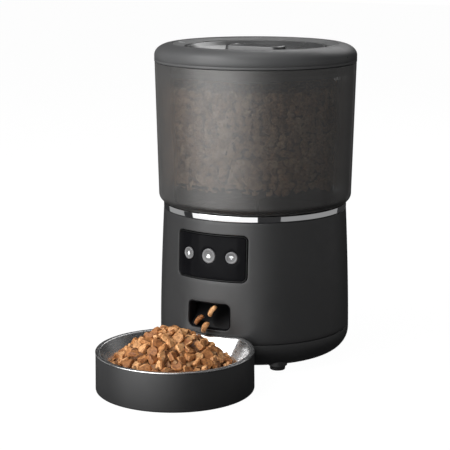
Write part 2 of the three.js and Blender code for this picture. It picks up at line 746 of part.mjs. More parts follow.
// An involute gear about the Z axis with a tooth on +X, turned by a phase.
function gearOutline(teeth, phase) {
  const pitch = (TOOTH_MODULE * teeth) / 2;
  const baseCircle = pitch * Math.cos(PRESSURE_ANGLE);
  const rootCircle = pitch - 1.25 * TOOTH_MODULE;
  const tip = pitch + TOOTH_MODULE;
  const involute = (angle) => Math.tan(angle) - angle;
  const halfTooth = (radius) => {
    const angle = Math.acos(Math.min(1, baseCircle / radius));
    const atPitch = Math.PI / (2 * teeth) - TOOTH_BACKLASH / (4 * pitch);
    return atPitch + involute(PRESSURE_ANGLE) - involute(angle);
  };
  const start = Math.max(rootCircle, baseCircle);
  const radii = [rootCircle, start + 0.01, (start + tip) / 2, tip];
  const outline = [];
  for (let tooth = 0; tooth < teeth; tooth++) {
    const middle = phase + (2 * Math.PI * tooth) / teeth;
    const flank = (radius, side) => {
      const angle = middle + side * halfTooth(Math.max(radius, start));
      return [radius * Math.cos(angle), radius * Math.sin(angle)];
    };
    outline.push(...radii.map((radius) => flank(radius, -1)));
    outline.push(...radii.toReversed().map((radius) => flank(radius, 1)));
  }
  return outline;
}

function driveGear() {
  const hubRadius = SHAFT_RADIUS + 4;
  const hubBottom = BRACKET_TOP + GAP + BUSH_FLANGE + GAP;
  return cut(
    join(
      slab(gearOutline(GEAR_TEETH, 0), GEAR_Z, GEAR_Z + GEAR_THICKNESS),
      post([0, 0], hubRadius, hubBottom, GEAR_Z + GEAR_THICKNESS + 3, FINE),
    ),
    post([0, 0], SHAFT_RADIUS + GAP, BRACKET_Z, DECK_Z, FINE),
  );
}

function motorPinion() {
  return join(
    slab(gearOutline(PINION_TEETH, Math.PI / PINION_TEETH), GEAR_Z - 1, GEAR_Z + GEAR_THICKNESS + 1),
    post([0, 0], PINION_STUB, BRACKET_Z + GAP, GEAR_Z),
  );
}

function gearMotor() {
  const top = BRACKET_Z - GAP;
  const boxBottom = top - GEARBOX_HEIGHT;
  return revolve(
    [
      [0, boxBottom - MOTOR_LENGTH],
      [MOTOR_RADIUS - 1, boxBottom - MOTOR_LENGTH],
      [MOTOR_RADIUS, boxBottom - MOTOR_LENGTH + 1],
      [MOTOR_RADIUS, boxBottom],
      [GEARBOX_RADIUS, boxBottom],
      [GEARBOX_RADIUS, top],
      [0, top],
    ],
    FINE,
  );
}

function gearMotorWithHoles() {
  const holes = [-MOTOR_SCREW_X, MOTOR_SCREW_X].map((x) =>
    post([x, 0], HOLE_RADIUS, BRACKET_Z - 12, BRACKET_Z),
  );
  return cut(gearMotor(), ...holes);
}

function shaftBush() {
  const flangeBottom = BRACKET_TOP + GAP;
  return revolve(
    [
      [SHAFT_RADIUS + GAP, BRACKET_Z - 1.5],
      [BUSH_RADIUS, BRACKET_Z - 1.5],
      [BUSH_RADIUS, flangeBottom],
      [BUSH_RADIUS + 2.5, flangeBottom],
      [BUSH_RADIUS + 2.5, flangeBottom + BUSH_FLANGE],
      [SHAFT_RADIUS + GAP, flangeBottom + BUSH_FLANGE],
    ],
    FINE,
  );
}

function shaftSeal() {
  const bottom = DECK_Z - 1;
  const top = SHELL_TOP + 1;
  return revolve(
    [
      [SHAFT_RADIUS + GAP + 0.1, bottom],
      [SEAL_RADIUS, bottom],
      [SEAL_RADIUS, top],
      [SHAFT_RADIUS + GAP + 0.1, top],
    ],
    FINE,
  );
}

const DOG_Z = SHELL_TOP + 2;

// The shaft, with a retaining disc under the bush and the hexagon that drives the impeller.
function outputShaft() {
  const discTop = BRACKET_Z - 1.5 - GAP;
  const shaft = revolve(
    [
      [0, discTop - 3],
      [SHAFT_RADIUS, discTop - 3],
      [SHAFT_RADIUS, discTop - 1.5],
      [SHAFT_RADIUS + 2, discTop - 1.5],
      [SHAFT_RADIUS + 2, discTop],
      [SHAFT_RADIUS, discTop],
      [SHAFT_RADIUS, DOG_Z + 1],
      [0, DOG_Z + 1],
    ],
    FINE,
  );
  return join(shaft, slab(circle(DOG_RADIUS, 0, 0, 6), DOG_Z, DOG_Z + DOG_HEIGHT));
}

addPiece(base, "gear_bracket", gearBracket(), zinc);
addPiece(base, "gear_motor", gearMotorWithHoles(), steel, [0, MOTOR_Y, 0]);
addPiece(base, "shaft_bush", shaftBush(), whitePlastic);
addPiece(base, "shaft_seal", shaftSeal(), rubber);
[-MOTOR_SCREW_X, MOTOR_SCREW_X].forEach((x, i) => {
  const at = [x, MOTOR_Y, BRACKET_TOP + GAP];
  addPiece(base, `motor_screw_${i + 1}`, screw(10), zinc, at);
});
BRACKET_POSTS.slice(0, 2).forEach(([x, y], i) => {
  addPiece(base, `bracket_screw_${i + 1}`, screw(12), zinc, [x, y, SHELL_TOP + GAP]);
});
addPiece(drive, "output_shaft", outputShaft(), steel);
addPiece(drive, "drive_gear", driveGear(), whitePlastic);
addPiece(pinion, "motor_pinion", motorPinion(), whitePlastic, [0, MOTOR_Y, 0]);

// ---------------------------------------------------------------- Base: batteries, boards, speaker, jack

const BAY_WALL = 2;
const BAY_Z = COVER_INSIDE_Z + GAP;
const BAY_TOP = BAY_Z + CELL_DIAMETER + 1 + BAY_WALL;
const BAY_OUTER_WIDTH = BAY_WIDTH + 2 * BAY_WALL;
const BAY_OUTER_DEPTH = BAY_DEPTH + 2 * BAY_WALL;
const MAIN_BOARD_Z = BAY_TOP + 4;

function batteryBox() {
  const outside = roundedRectangle(BAY_OUTER_WIDTH, BAY_OUTER_DEPTH, 5, 0, BAY_Y);
  const inside = roundedRectangle(BAY_WIDTH, BAY_DEPTH, 3, 0, BAY_Y);
  const posts = [-1, 1].flatMap((sx) =>
    [-1, 1].map((sy) => post([sx * 34, BAY_Y + sy * 23], 3, BAY_TOP - 1, MAIN_BOARD_Z - GAP)),
  );
  const ribs = [-1, 1].map((side) =>
    block(1.2, 8, [(side * CELL_DIAMETER) / 2 + side * 0.2, BAY_Y], BAY_TOP - 10, BAY_TOP - 1),
  );
  const walls = cut(slab(outside, BAY_Z, BAY_TOP), slab(inside, BAY_Z - 1, BAY_TOP - BAY_WALL));
  return join(walls, ...posts, ...ribs);
}

// A conical contact spring along -Z, widest at its foot.
class ConeCoil extends THREE.Curve {
  getPoint(t, target = new THREE.Vector3()) {
    const turns = 3;
    const angle = 2 * Math.PI * turns * t;
    const radius = THREE.MathUtils.lerp(7, 3.5, t);
    return target.set(radius * Math.cos(angle), radius * Math.sin(angle), 5 * t);
  }
}

function batterySpring() {
  const wire = new THREE.Shape(circle(0.5, 0, 0, 6).map(([x, y]) => new THREE.Vector2(x, y)));
  return solidOf(new THREE.ExtrudeGeometry(wire, { steps: 30, extrudePath: new ConeCoil() }));
}

function speaker() {
  return revolve(
    [
      [0, 0],
      [9, 0],
      [9, 4],
      [SPEAKER_RADIUS, 8],
      [SPEAKER_RADIUS, 10],
      [SPEAKER_RADIUS - 2, 10],
      [6, 5.5],
      [0, 7],
    ],
    FINE,
  );
}

function dcJack() {
  const wallInside = shellRadius(JACK_Z) - WALL;
  const body = block(13, 12, [0, wallInside - 7.5], JACK_Z - 6.5, JACK_Z + 6.5);
  const barrel = frontPrism(circle(JACK_RADIUS, 0, JACK_Z), wallInside - 3, wallInside + WALL);
  const socket = frontPrism(circle(3.2, 0, JACK_Z, COARSE), wallInside - 8, wallInside + WALL + 1);
  const pin = frontPrism(circle(1, 0, JACK_Z, 8), wallInside - 9, wallInside + 1);
  return join(cut(join(body, barrel), socket), pin);
}

addPiece(base, "battery_box", batteryBox(), blackPlastic);
const springFoot = BAY_Y + BAY_DEPTH / 2 - 0.5 - GAP;
for (let i = 0; i < CELLS; i++) {
  const x = (i - (CELLS - 1) / 2) * CELL_DIAMETER;
  const z = BAY_Z + CELL_DIAMETER / 2;
  addPiece(base, `battery_spring_${i + 1}`, batterySpring(), steel, [x, springFoot, z], [Math.PI / 2, 0, 0]);
}
const boardOutline = roundedRectangle(78, 56, 2, 0, BAY_Y, 2);
addPiece(base, "main_board", slab(boardOutline, MAIN_BOARD_Z, MAIN_BOARD_Z + BOARD_THICKNESS), circuit);
const moduleBottom = MAIN_BOARD_Z + BOARD_THICKNESS + GAP;
addPiece(base, "wifi_module", block(18, 24, [-24, BAY_Y - 12], moduleBottom, moduleBottom + 3), zinc);
const speakerBack = shellRadius(SPEAKER_Z) - WALL - 4.4;
addPiece(base, "speaker", speaker(), blackPlastic, [0, speakerBack - 10, SPEAKER_Z], [-Math.PI / 2, 0, 0]);
addPiece(base, "dc_jack", dcJack(), blackPlastic);

function doorPlate() {
  const bottom = FOOT_HEIGHT + 0.2;
  const plate = slab(roundedRectangle(DOOR_WIDTH, DOOR_DEPTH, 1.5, 0, BAY_Y), bottom, bottom + DOOR_THICKNESS);
  const thumbNotch = post([0, BAY_Y - DOOR_DEPTH / 2], 6, bottom - 1, bottom + 1, FINE);
  return cut(plate, thumbNotch);
}

addPiece(batteryDoor, "battery_door", doorPlate(), charcoal);

// ---------------------------------------------------------------- Tank, baffle, impeller

const TANK_CORNER_R = TANK_FOOT_RADIUS - TANK_CORNER;
const TANK_CORNER_Z = TANK_Z + TANK_CORNER;
const SPIGOT_RADIUS = COLLAR_INSIDE - WALL;

function tankRadius(z) {
  const rise = (z - TANK_CORNER_Z) / (TANK_TOP - TANK_CORNER_Z);
  return TANK_FOOT_RADIUS + TANK_FLARE * THREE.MathUtils.clamp(rise, 0, 1);
}

function tankBody() {
  const hubHole = ROTOR_COLLAR + LOOSE;
  const inner = TANK_CORNER - WALL;
  const shape = revolve([
    [hubHole, TANK_Z],
    [SPIGOT_RADIUS - WALL, TANK_Z],
    [SPIGOT_RADIUS - WALL, TANK_Z - SPIGOT_DEPTH],
    [SPIGOT_RADIUS, TANK_Z - SPIGOT_DEPTH],
    [SPIGOT_RADIUS, TANK_Z],
    ...arc(TANK_CORNER_R, TANK_CORNER_Z, TANK_CORNER, -Math.PI / 2, 0, 4),
    [TANK_RADIUS, TANK_TOP],
    [TANK_RADIUS - WALL, TANK_TOP],
    ...arc(TANK_CORNER_R, TANK_CORNER_Z, inner, 0, -Math.PI / 2, 3, TANK_CORNER_Z - TANK_FLOOR_TOP),
    [hubHole, TANK_FLOOR_TOP],
  ]);
  const outletY = -(CHUTE_FRONT + CHUTE_BACK) / 2;
  return cut(shape, block(OUTLET_WIDTH, OUTLET_DEPTH, [0, outletY], TANK_Z - 1, TANK_FLOOR_TOP + 1));
}

const BAFFLE_Z = ROTOR_TOP - 1;
const BAFFLE_SPAN = degrees(80);

// A roof over the outlet, so that only the impeller's pockets reach it.
function outletBaffle() {
  const thickness = 2.5;
  const facetDepth = (1 - Math.cos(Math.PI / SIDES)) * TANK_RADIUS; // the wall is a polygon, so its flats lie nearer
  const outer = tankRadius(BAFFLE_Z) - WALL - facetDepth - GAP;
  const middle = -Math.PI / 2;
  const outline = [
    ...arc(0, 0, outer, middle - BAFFLE_SPAN / 2, middle + BAFFLE_SPAN / 2, 12),
    ...arc(0, 0, ROTOR_HUB + 4, middle + BAFFLE_SPAN / 2, middle - BAFFLE_SPAN / 2, 8),
  ];
  return slab(outline, BAFFLE_Z, BAFFLE_Z + thickness);
}

function impeller() {
  const collarBottom = SHELL_TOP + 3;
  const hub = revolve(
    [
      [0, collarBottom],
      [ROTOR_COLLAR, collarBottom],
      [ROTOR_COLLAR, ROTOR_Z],
      [ROTOR_HUB, ROTOR_Z],
      [ROTOR_HUB, ROTOR_TOP],
      [0, ROTOR_TOP],
    ],
    FINE,
  );
  const reach = TANK_CORNER_R - 2.5;
  const paddles = Array.from({ length: PADDLES }, (_, i) => {
    const angle = (Math.PI * (2 * i + 1)) / PADDLES;
    return spoke(angle, PADDLE_THICKNESS, ROTOR_HUB - 2, reach, ROTOR_Z + GAP, ROTOR_Z + PADDLE_HEIGHT);
  });
  const socket = slab(circle(SOCKET_RADIUS, 0, 0, 6), collarBottom - 1, DOG_Z + DOG_HEIGHT + 2);
  return cut(join(hub, ...paddles), socket);
}

// A cone with two fingers that keep the food loose above the impeller.
function stirrerCap() {
  const bottom = ROTOR_TOP + GAP;
  const cone = revolve(
    [
      [0, bottom],
      [ROTOR_HUB, bottom],
      [ROTOR_HUB, bottom + 8],
      [5, bottom + 23],
      [0, bottom + 24],
    ],
    FINE,
  );
  return join(cone, block(2 * ROTOR_HUB + 44, 5, [0, 0], bottom + 3, bottom + 7.5));
}

addPiece(tank, "tank", tankBody(), smoke);
addPiece(tank, "outlet_baffle", outletBaffle(), blackPlastic);
addPiece(rotor, "impeller", impeller(), blackPlastic);
addPiece(rotor, "stirrer_cap", stirrerCap(), blackPlastic);

// ---------------------------------------------------------------- Lid and lock knob

const SHOULDER_R = LID_RADIUS - SHOULDER_WIDTH;
const SHOULDER_Z = LID_TOP - SHOULDER_HEIGHT;
const DISH_RADIUS = SHOULDER_R - LAND_WIDTH;
const DISH_Z = LID_TOP - DISH_DEPTH;
const LID_WALL = 2.3;
const SKIRT_Z = LID_Z - SKIRT_DEPTH;
const SKIRT_RADIUS = TANK_RADIUS - WALL - 2.3;
const SKIRT_INSIDE = SKIRT_RADIUS - WALL;

function lidShell() {
  const skirtRoot = LID_Z + WALL;
  return revolve([
    [LID_RADIUS, LID_Z],
    ...arc(SHOULDER_R, SHOULDER_Z, SHOULDER_WIDTH, 0, Math.PI / 2, 6, SHOULDER_HEIGHT),
    [DISH_RADIUS + 0.6, LID_TOP - LAND_DROP],
    [DISH_RADIUS, LID_TOP - LAND_DROP - 0.6],
    [DISH_RADIUS, DISH_Z],
    [STEM_RADIUS + LOOSE, DISH_Z],
    [STEM_RADIUS + LOOSE, DISH_Z - LID_WALL],
    [DISH_RADIUS + LID_WALL, DISH_Z - LID_WALL],
    [DISH_RADIUS + LID_WALL, LID_TOP - LID_WALL - LAND_DROP],
    ...arc(
      SHOULDER_R,
      SHOULDER_Z,
      SHOULDER_WIDTH - LID_WALL,
      Math.PI / 2,
      0,
      5,
      SHOULDER_HEIGHT - LID_WALL,
    ),
    [LID_RADIUS - LID_WALL, skirtRoot],
    [SKIRT_INSIDE, skirtRoot],
    [SKIRT_INSIDE, SKIRT_Z],
    [SKIRT_RADIUS, SKIRT_Z],
    [SKIRT_RADIUS, LID_Z],
  ]);
}

function lidGasket() {
  const bottom = SKIRT_Z + 4;
  const outer = tankRadius(bottom) - WALL - GAP;
  return revolve([
    [SKIRT_RADIUS + GAP, bottom],
    [outer, bottom],
    [outer - 0.3, bottom + 3],
    [SKIRT_RADIUS + GAP, bottom + 3],
  ]);
}

const LINER_Z = SKIRT_Z + 1;
const LINER_THICKNESS = 2;
const CASE_RADIUS = 32;
const CASE_HEIGHT = 9.7;

function lidLiner() {
  const outer = SKIRT_INSIDE - GAP;
  return revolve([
    [0, LINER_Z],
    [outer, LINER_Z],
    [outer, LINER_Z + LINER_THICKNESS],
    [0, LINER_Z + LINER_THICKNESS],
  ]);
}

// An open-topped cup under the liner, with slots in its floor for the drying bag.
function desiccantCase() {
  const top = LINER_Z - GAP;
  const bottom = top - CASE_HEIGHT;
  const wall = 1.8;
  const cup = revolve([
    [0, bottom],
    [CASE_RADIUS - 3, bottom],
    [CASE_RADIUS, bottom + 3],
    [CASE_RADIUS, top],
    [CASE_RADIUS - wall, top],
    [CASE_RADIUS - wall, bottom + 3.5],
    [CASE_RADIUS - 3.5, bottom + wall],
    [0, bottom + wall],
  ]);
  const slots = [-2, -1, 0, 1, 2].map((step) =>
    block(36 - 6 * Math.abs(step), 2.2, [0, step * 7], bottom - 1, bottom + wall + 1),
  );
  return cut(cup, ...slots);
}

const PAN_Z = DISH_Z + GAP;
const PAN_RADIUS = DISH_RADIUS - LOOSE - 0.1;
const PAN_TOP = LID_TOP - 3;
const PAN_FLOOR = PAN_Z + 2.4;
const STEM_Z = DISH_Z - 6;
const GRIP_TOP = LID_TOP - 2.2;

// The round dish that sits in the lid, with a raised bar to turn it by and a stem through the lid.
function lockKnob() {
  const pan = revolve([
    [0, STEM_Z],
    [STEM_RADIUS, STEM_Z],
    [STEM_RADIUS, PAN_Z],
    [PAN_RADIUS - 1.2, PAN_Z],
    [PAN_RADIUS, PAN_Z + 1.2],
    [PAN_RADIUS, PAN_TOP],
    [PAN_RADIUS - 2.4, PAN_TOP],
    [PAN_RADIUS - 8, PAN_FLOOR + 4.2],
    [PAN_RADIUS - 16, PAN_FLOOR + 1.3],
    [PAN_RADIUS - 24, PAN_FLOOR],
    [0, PAN_FLOOR],
  ]);
  const grip = skin([
    { outline: roundedRectangle(GRIP_LENGTH + 4, GRIP_WIDTH + 4, 7), z: PAN_FLOOR - 1 },
    { outline: roundedRectangle(GRIP_LENGTH, GRIP_WIDTH, 6), z: GRIP_TOP - 1.2 },
    { outline: roundedRectangle(GRIP_LENGTH - 2.4, GRIP_WIDTH - 2.4, 5), z: GRIP_TOP },
  ]);
  return cut(join(pan, grip), post([0, 0], HOLE_RADIUS, STEM_Z - 1, STEM_Z + 6));
}

const PLATE_THICKNESS = 2.6;

function lockPlate() {
  const top = STEM_Z - GAP;
  const plate = slab(roundedRectangle(110, 18, 8.5), top - PLATE_THICKNESS, top);
  return cut(plate, post([0, 0], HOLE_RADIUS, top - PLATE_THICKNESS - 1, top + 1));
}

addPiece(lid, "lid_shell", lidShell(), charcoal);
addPiece(lid, "lid_gasket", lidGasket(), rubber);
addPiece(lid, "lid_liner", lidLiner(), charcoalDark);
addPiece(lid, "desiccant_case", desiccantCase(), whitePlastic);
addPiece(knob, "lock_knob", lockKnob(), charcoal);
addPiece(knob, "lock_plate", lockPlate(), whitePlastic);
const knobScrewZ = STEM_Z - GAP - PLATE_THICKNESS - GAP;
addPiece(knob, "knob_screw", screw(7), zinc, [0, 0, knobScrewZ], [Math.PI, 0, 0]);

// ---------------------------------------------------------------- Bowl and tray

// A round bowl's outline with its back scooped out by the round base, and its two horns rounded.
function scoopedOutline(bowlRadius, scoopRadius, hornRadius) {
  const toBowl = bowlRadius - hornRadius;
  const toBase = scoopRadius + hornRadius;
  const hornY = (toBase ** 2 - toBowl ** 2 + BOWL_DISTANCE ** 2) / (2 * BOWL_DISTANCE);
  const hornX = Math.sqrt(toBase ** 2 - hornY ** 2);
  const bowlTurn = Math.atan2(BOWL_DISTANCE - hornY, hornX);
  const baseTurn = Math.atan2(hornY, hornX);
  return [
    ...arc(0, -BOWL_DISTANCE, bowlRadius, Math.PI - bowlTurn, 2 * Math.PI + bowlTurn, 36),
    ...arc(hornX, -hornY, hornRadius, bowlTurn, Math.PI - baseTurn, 4).slice(1),
    ...arc(0, 0, scoopRadius, -baseTurn, baseTurn - Math.PI, 12).slice(1),
    ...arc(-hornX, -hornY, hornRadius, baseTurn, Math.PI - bowlTurn, 4).slice(1, -1),
  ];
}

const SCOOP_RADIUS = BASE_RADIUS + DOCK_GAP;

function trayRing(z, inset) {
  const horn = Math.max(HORN_RADIUS - inset, 2);
  return { outline: scoopedOutline(TRAY_RADIUS - inset, SCOOP_RADIUS + inset, horn), z };
}

function bowlTray() {
  const outside = skin([
    trayRing(0, 1.5),
    trayRing(1.5, 0),
    trayRing(TRAY_HEIGHT - 1, 0.5),
    trayRing(TRAY_HEIGHT, 1.2),
  ]);
  const inside = skin([trayRing(TRAY_WALL, TRAY_WALL), trayRing(TRAY_HEIGHT + 1, TRAY_WALL + 0.5)]);
  const root = SCOOP_RADIUS + TRAY_WALL - 0.5;
  const tongue = block(
    TONGUE_WIDTH,
    TONGUE_LENGTH,
    [0, -root + TONGUE_LENGTH / 2],
    TONGUE_Z,
    TONGUE_Z + TONGUE_THICKNESS,
  );
  return join(cut(outside, inside), tongue);
}

// A ring of the bowl's skin, set in from the tray's outline by an inset.
function bowlRing(z, inset) {
  const scoop = SCOOP_RADIUS + GAP + inset;
  return { outline: scoopedOutline(TRAY_RADIUS - GAP - inset, scoop, HORN_RADIUS), z };
}

function steelBowl() {
  const rimTop = TRAY_HEIGHT + RIM_HEIGHT;
  const floorInset = TRAY_RADIUS - GAP - BOWL_FLOOR_RADIUS;
  const underside = BOWL_FLOOR_Z - BOWL_SHEET;
  const side = TRAY_WALL + 1; // inset of the wall just under the rim
  return skin([
    bowlRing(underside, floorInset - 1),
    bowlRing(underside + 3, floorInset - 6.5),
    bowlRing(TRAY_HEIGHT - 1.5, side),
    bowlRing(TRAY_HEIGHT, side),
    bowlRing(TRAY_HEIGHT, 0.6),
    bowlRing(TRAY_HEIGHT + 0.5, 0.4),
    bowlRing(rimTop - 0.3, 0.5),
    bowlRing(rimTop, 1),
    bowlRing(rimTop, side + 0.5),
    bowlRing(TRAY_HEIGHT - 1, side + 1.5),
    bowlRing(underside + 3.6, floorInset - 5.5),
    bowlRing(BOWL_FLOOR_Z, floorInset),
  ]);
}

addPiece(tray, "bowl_tray", bowlTray(), charcoal);
addPiece(bowl, "steel_bowl", steelBowl(), steel);

export default root;
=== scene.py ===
"""The looks of an automatic pet feeder, built around its plain model. Metres, with the front towards -Y."""

import json
import math

import bmesh
import bpy
from mathutils import Matrix, Vector, geometry


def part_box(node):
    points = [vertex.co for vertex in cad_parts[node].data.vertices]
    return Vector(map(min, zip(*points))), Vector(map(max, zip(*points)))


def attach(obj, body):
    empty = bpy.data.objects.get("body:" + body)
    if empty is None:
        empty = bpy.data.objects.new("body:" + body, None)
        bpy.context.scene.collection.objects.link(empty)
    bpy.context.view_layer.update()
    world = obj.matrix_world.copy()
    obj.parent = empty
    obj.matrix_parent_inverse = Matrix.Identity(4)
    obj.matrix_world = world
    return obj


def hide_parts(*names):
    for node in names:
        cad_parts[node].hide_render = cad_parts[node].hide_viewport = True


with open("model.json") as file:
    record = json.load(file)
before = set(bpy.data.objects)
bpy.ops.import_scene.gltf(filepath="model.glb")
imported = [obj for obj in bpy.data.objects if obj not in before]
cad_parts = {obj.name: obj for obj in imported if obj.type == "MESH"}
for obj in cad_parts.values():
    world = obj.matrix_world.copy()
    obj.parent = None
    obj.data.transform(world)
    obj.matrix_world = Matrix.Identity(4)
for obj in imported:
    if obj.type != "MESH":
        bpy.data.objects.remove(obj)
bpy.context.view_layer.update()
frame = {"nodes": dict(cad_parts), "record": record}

MM = 0.001


# ---------------------------------------------------------------- Places and sizes, from the frame


def size_of(node):
    low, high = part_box(node)
    return high - low


tank_low, tank_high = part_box("tank")
AXIS_Y = (tank_low.y + tank_high.y) / 2
SHELL_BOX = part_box("body_shell")
COVER_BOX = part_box("base_cover")
SEAM_Z = SHELL_BOX[0].z
SHELL_TOP = SHELL_BOX[1].z
BASE_RADIUS = size_of("body_shell").x / 2
RING_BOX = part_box("trim_ring")
NECK_RADIUS = size_of("trim_ring").x / 2
TANK_RADIUS = size_of("tank").x / 2
TANK_TOP = tank_high.z
LID_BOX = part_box("lid_shell")
LID_RADIUS = size_of("lid_shell").x / 2
LID_TOP = LID_BOX[1].z
TRAY_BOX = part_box("bowl_tray")
TRAY_RADIUS = size_of("bowl_tray").x / 2
TRAY_HEIGHT = TRAY_BOX[1].z
BOWL_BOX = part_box("steel_bowl")
BOWL_Y = TRAY_BOX[0].y + TRAY_RADIUS
BOWL_DISTANCE = AXIS_Y - BOWL_Y
WINDOW_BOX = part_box("panel_window")
PANEL_WIDTH = size_of("panel_window").x
PANEL_HEIGHT = size_of("panel_window").z
PANEL_Z = (WINDOW_BOX[0].z + WINDOW_BOX[1].z) / 2
WALL = 2.5 * MM
GAP = 0.3 * MM
MOUTH_WIDTH = 46 * MM
MOUTH_HEIGHT = 26 * MM
MOUTH_Z = 54 * MM
MOUTH_CORNER = 5.5 * MM
DOCK_RADIUS = BASE_RADIUS + 0.8 * MM


def about_axis(radius, turn, z):
    """The point at a distance from the feeder's axis, turned from the front by an angle in radians."""
    return Vector((radius * math.sin(turn), AXIS_Y - radius * math.cos(turn), z))


def shell_radius(z):
    rise = min(max((z - SEAM_Z) / (SHELL_TOP - SEAM_Z), 0), 1)
    return BASE_RADIUS - (BASE_RADIUS - NECK_RADIUS) * rise**1.5


# ---------------------------------------------------------------- Materials


def blank_material(name):
    material = bpy.data.materials.new(name)
    material.use_nodes = True
    tree = material.node_tree
    tree.nodes.clear()
    output = tree.nodes.new("ShaderNodeOutputMaterial")
    shader = tree.nodes.new("ShaderNodeBsdfPrincipled")
    tree.links.new(shader.outputs["BSDF"], output.inputs["Surface"])
    return material, tree, shader


def node_with(tree, kind, inputs):
    """A new node whose inputs are linked to sockets or set to values."""
    node = tree.nodes.new(kind)
    for key, value in inputs.items():
        if isinstance(value, bpy.types.NodeSocket):
            tree.links.new(value, node.inputs[key])
        else:
            node.inputs[key].default_value = value
    return node


def object_place(tree):
    return tree.nodes.new("ShaderNodeTexCoord").outputs["Object"]


def noise(tree, place, scale, detail=2.0, rough=0.5):
    inputs = {"Scale": scale, "Detail": detail, "Roughness": rough, "Vector": place}
    return node_with(tree, "ShaderNodeTexNoise", inputs).outputs["Fac"]


def ramp(tree, source, stops):
    """A colour ramp with (position, colour) stops."""
    node = tree.nodes.new("ShaderNodeValToRGB")
    elements = node.color_ramp.elements
    while len(elements) < len(stops):
        elements.new(0.5)
    for element, (position, colour) in zip(elements, stops):
        element.position = position
        element.color = (*colour, 1)
    tree.links.new(source, node.inputs["Fac"])
    return node.outputs["Color"]


def spread(tree, source, low, high, from_low=0.3, from_high=0.7):
    """Maps the middle of a noise to a range."""
    inputs = {"From Min": from_low, "From Max": from_high, "To Min": low, "To Max": high, "Value": source}
    return node_with(tree, "ShaderNodeMapRange", inputs).outputs["Result"]


def bump(tree, height, strength, distance, before=None):
    inputs = {"Strength": strength, "Distance": distance, "Height": height}
    if before is not None:
        inputs["Normal"] = before
    return node_with(tree, "ShaderNodeBump", inputs).outputs["Normal"]


def scaled(colour, factor):
    return tuple(min(channel * factor, 1) for channel in colour)


def moulded_plastic(name, colour, roughness, grain=0.25, grain_scale=1500, mottle=0.06, specular=0.5):
    """Injection-moulded plastic: spark-eroded grain, faint flow mottling and uneven sheen."""
    material, tree, shader = blank_material(name)
    place = object_place(tree)
    flow = noise(tree, place, 22, 3)
    stops = [(0.3, scaled(colour, 1 - mottle)), (0.7, scaled(colour, 1 + mottle))]
    tree.links.new(ramp(tree, flow, stops), shader.inputs["Base Color"])
    sheen = noise(tree, place, 70, 4, 0.6)
    tree.links.new(spread(tree, sheen, roughness - 0.04, roughness + 0.04), shader.inputs["Roughness"])
    shader.inputs["Specular IOR Level"].default_value = specular
    waves = bump(tree, noise(tree, place, 12, 1), 0.1, 0.4 * MM)
    fine = bump(tree, noise(tree, place, grain_scale, 3, 0.6), grain, 0.06 * MM, waves)
    tree.links.new(fine, shader.inputs["Normal"])
    return material


def smoked_plastic(name):
    """Frosted plastic with a dark smoky tint, which hides more of what is behind it as it turns away."""
    material, tree, shader = blank_material(name)
    place = object_place(tree)
    cloud = noise(tree, place, 30, 3)
    tint = ramp(tree, cloud, [(0.3, (0.2, 0.196, 0.192)), (0.7, (0.225, 0.221, 0.217))])
    tree.links.new(tint, shader.inputs["Base Color"])
    sheen = noise(tree, place, 90, 3)
    tree.links.new(spread(tree, sheen, 0.47, 0.53), shader.inputs["Roughness"])
    tree.links.new(bump(tree, noise(tree, place, 900, 2), 0.08, 0.05 * MM), shader.inputs["Normal"])
    shader.inputs["Metallic"].default_value = 0.85
    facing = node_with(tree, "ShaderNodeLayerWeight", {"Blend": 0.5}).outputs["Facing"]
    tree.links.new(spread(tree, facing, 0.52, 0.96, 0.35, 0.92), shader.inputs["Alpha"])
    return material


def mirror_chrome(name):
    material, tree, shader = blank_material(name)
    place = object_place(tree)
    shader.inputs["Metallic"].default_value = 1.0
    film = ramp(tree, noise(tree, place, 40, 2), [(0.3, (0.82, 0.83, 0.84)), (0.7, (0.87, 0.87, 0.87))])
    tree.links.new(film, shader.inputs["Base Color"])
    tree.links.new(spread(tree, noise(tree, place, 300, 3), 0.03, 0.06), shader.inputs["Roughness"])
    return material


def spun_steel(name, centre, roughness):
    """Steel brushed in circles about a vertical axis through a centre."""
    material, tree, shader = blank_material(name)
    links = tree.links
    shift = node_with(tree, "ShaderNodeVectorMath", {0: object_place(tree), 1: centre})
    shift.operation = "SUBTRACT"
    parts = node_with(tree, "ShaderNodeSeparateXYZ", {0: shift.outputs[0]})
    x, y, z = parts.outputs
    flat = node_with(tree, "ShaderNodeCombineXYZ", {"X": x, "Y": y})
    distance = node_with(tree, "ShaderNodeVectorMath", {0: flat.outputs[0]})
    distance.operation = "LENGTH"
    turn = node_with(tree, "ShaderNodeMath", {0: y, 1: x})
    turn.operation = "ARCTAN2"
    small_turn = node_with(tree, "ShaderNodeMath", {0: turn.outputs[0], 1: 0.004})
    small_turn.operation = "MULTIPLY"
    brushing = {"X": distance.outputs["Value"], "Y": small_turn.outputs[0], "Z": z}
    brushed = node_with(tree, "ShaderNodeCombineXYZ", brushing)
    lines = noise(tree, brushed.outputs[0], 1600, 3, 0.6)
    shader.inputs["Metallic"].default_value = 1.0
    tone = ramp(tree, lines, [(0.3, (0.72, 0.72, 0.725)), (0.7, (0.84, 0.84, 0.84))])
    links.new(tone, shader.inputs["Base Color"])
    links.new(spread(tree, lines, roughness - 0.06, roughness + 0.1), shader.inputs["Roughness"])
    links.new(bump(tree, lines, 0.12, 0.03 * MM), shader.inputs["Normal"])
    return material


def gloss_black(name, roughness=0.07, specular=0.03):
    material, tree, shader = blank_material(name)
    place = object_place(tree)
    smudge = noise(tree, place, 45, 3)
    tree.links.new(ramp(tree, smudge, [(0.3, (0.005, 0.005, 0.006)), (0.7, (0.008, 0.008, 0.009))]),
                   shader.inputs["Base Color"])
    tree.links.new(spread(tree, smudge, roughness, roughness + 0.05), shader.inputs["Roughness"])
    shader.inputs["Specular IOR Level"].default_value = specular
    return material


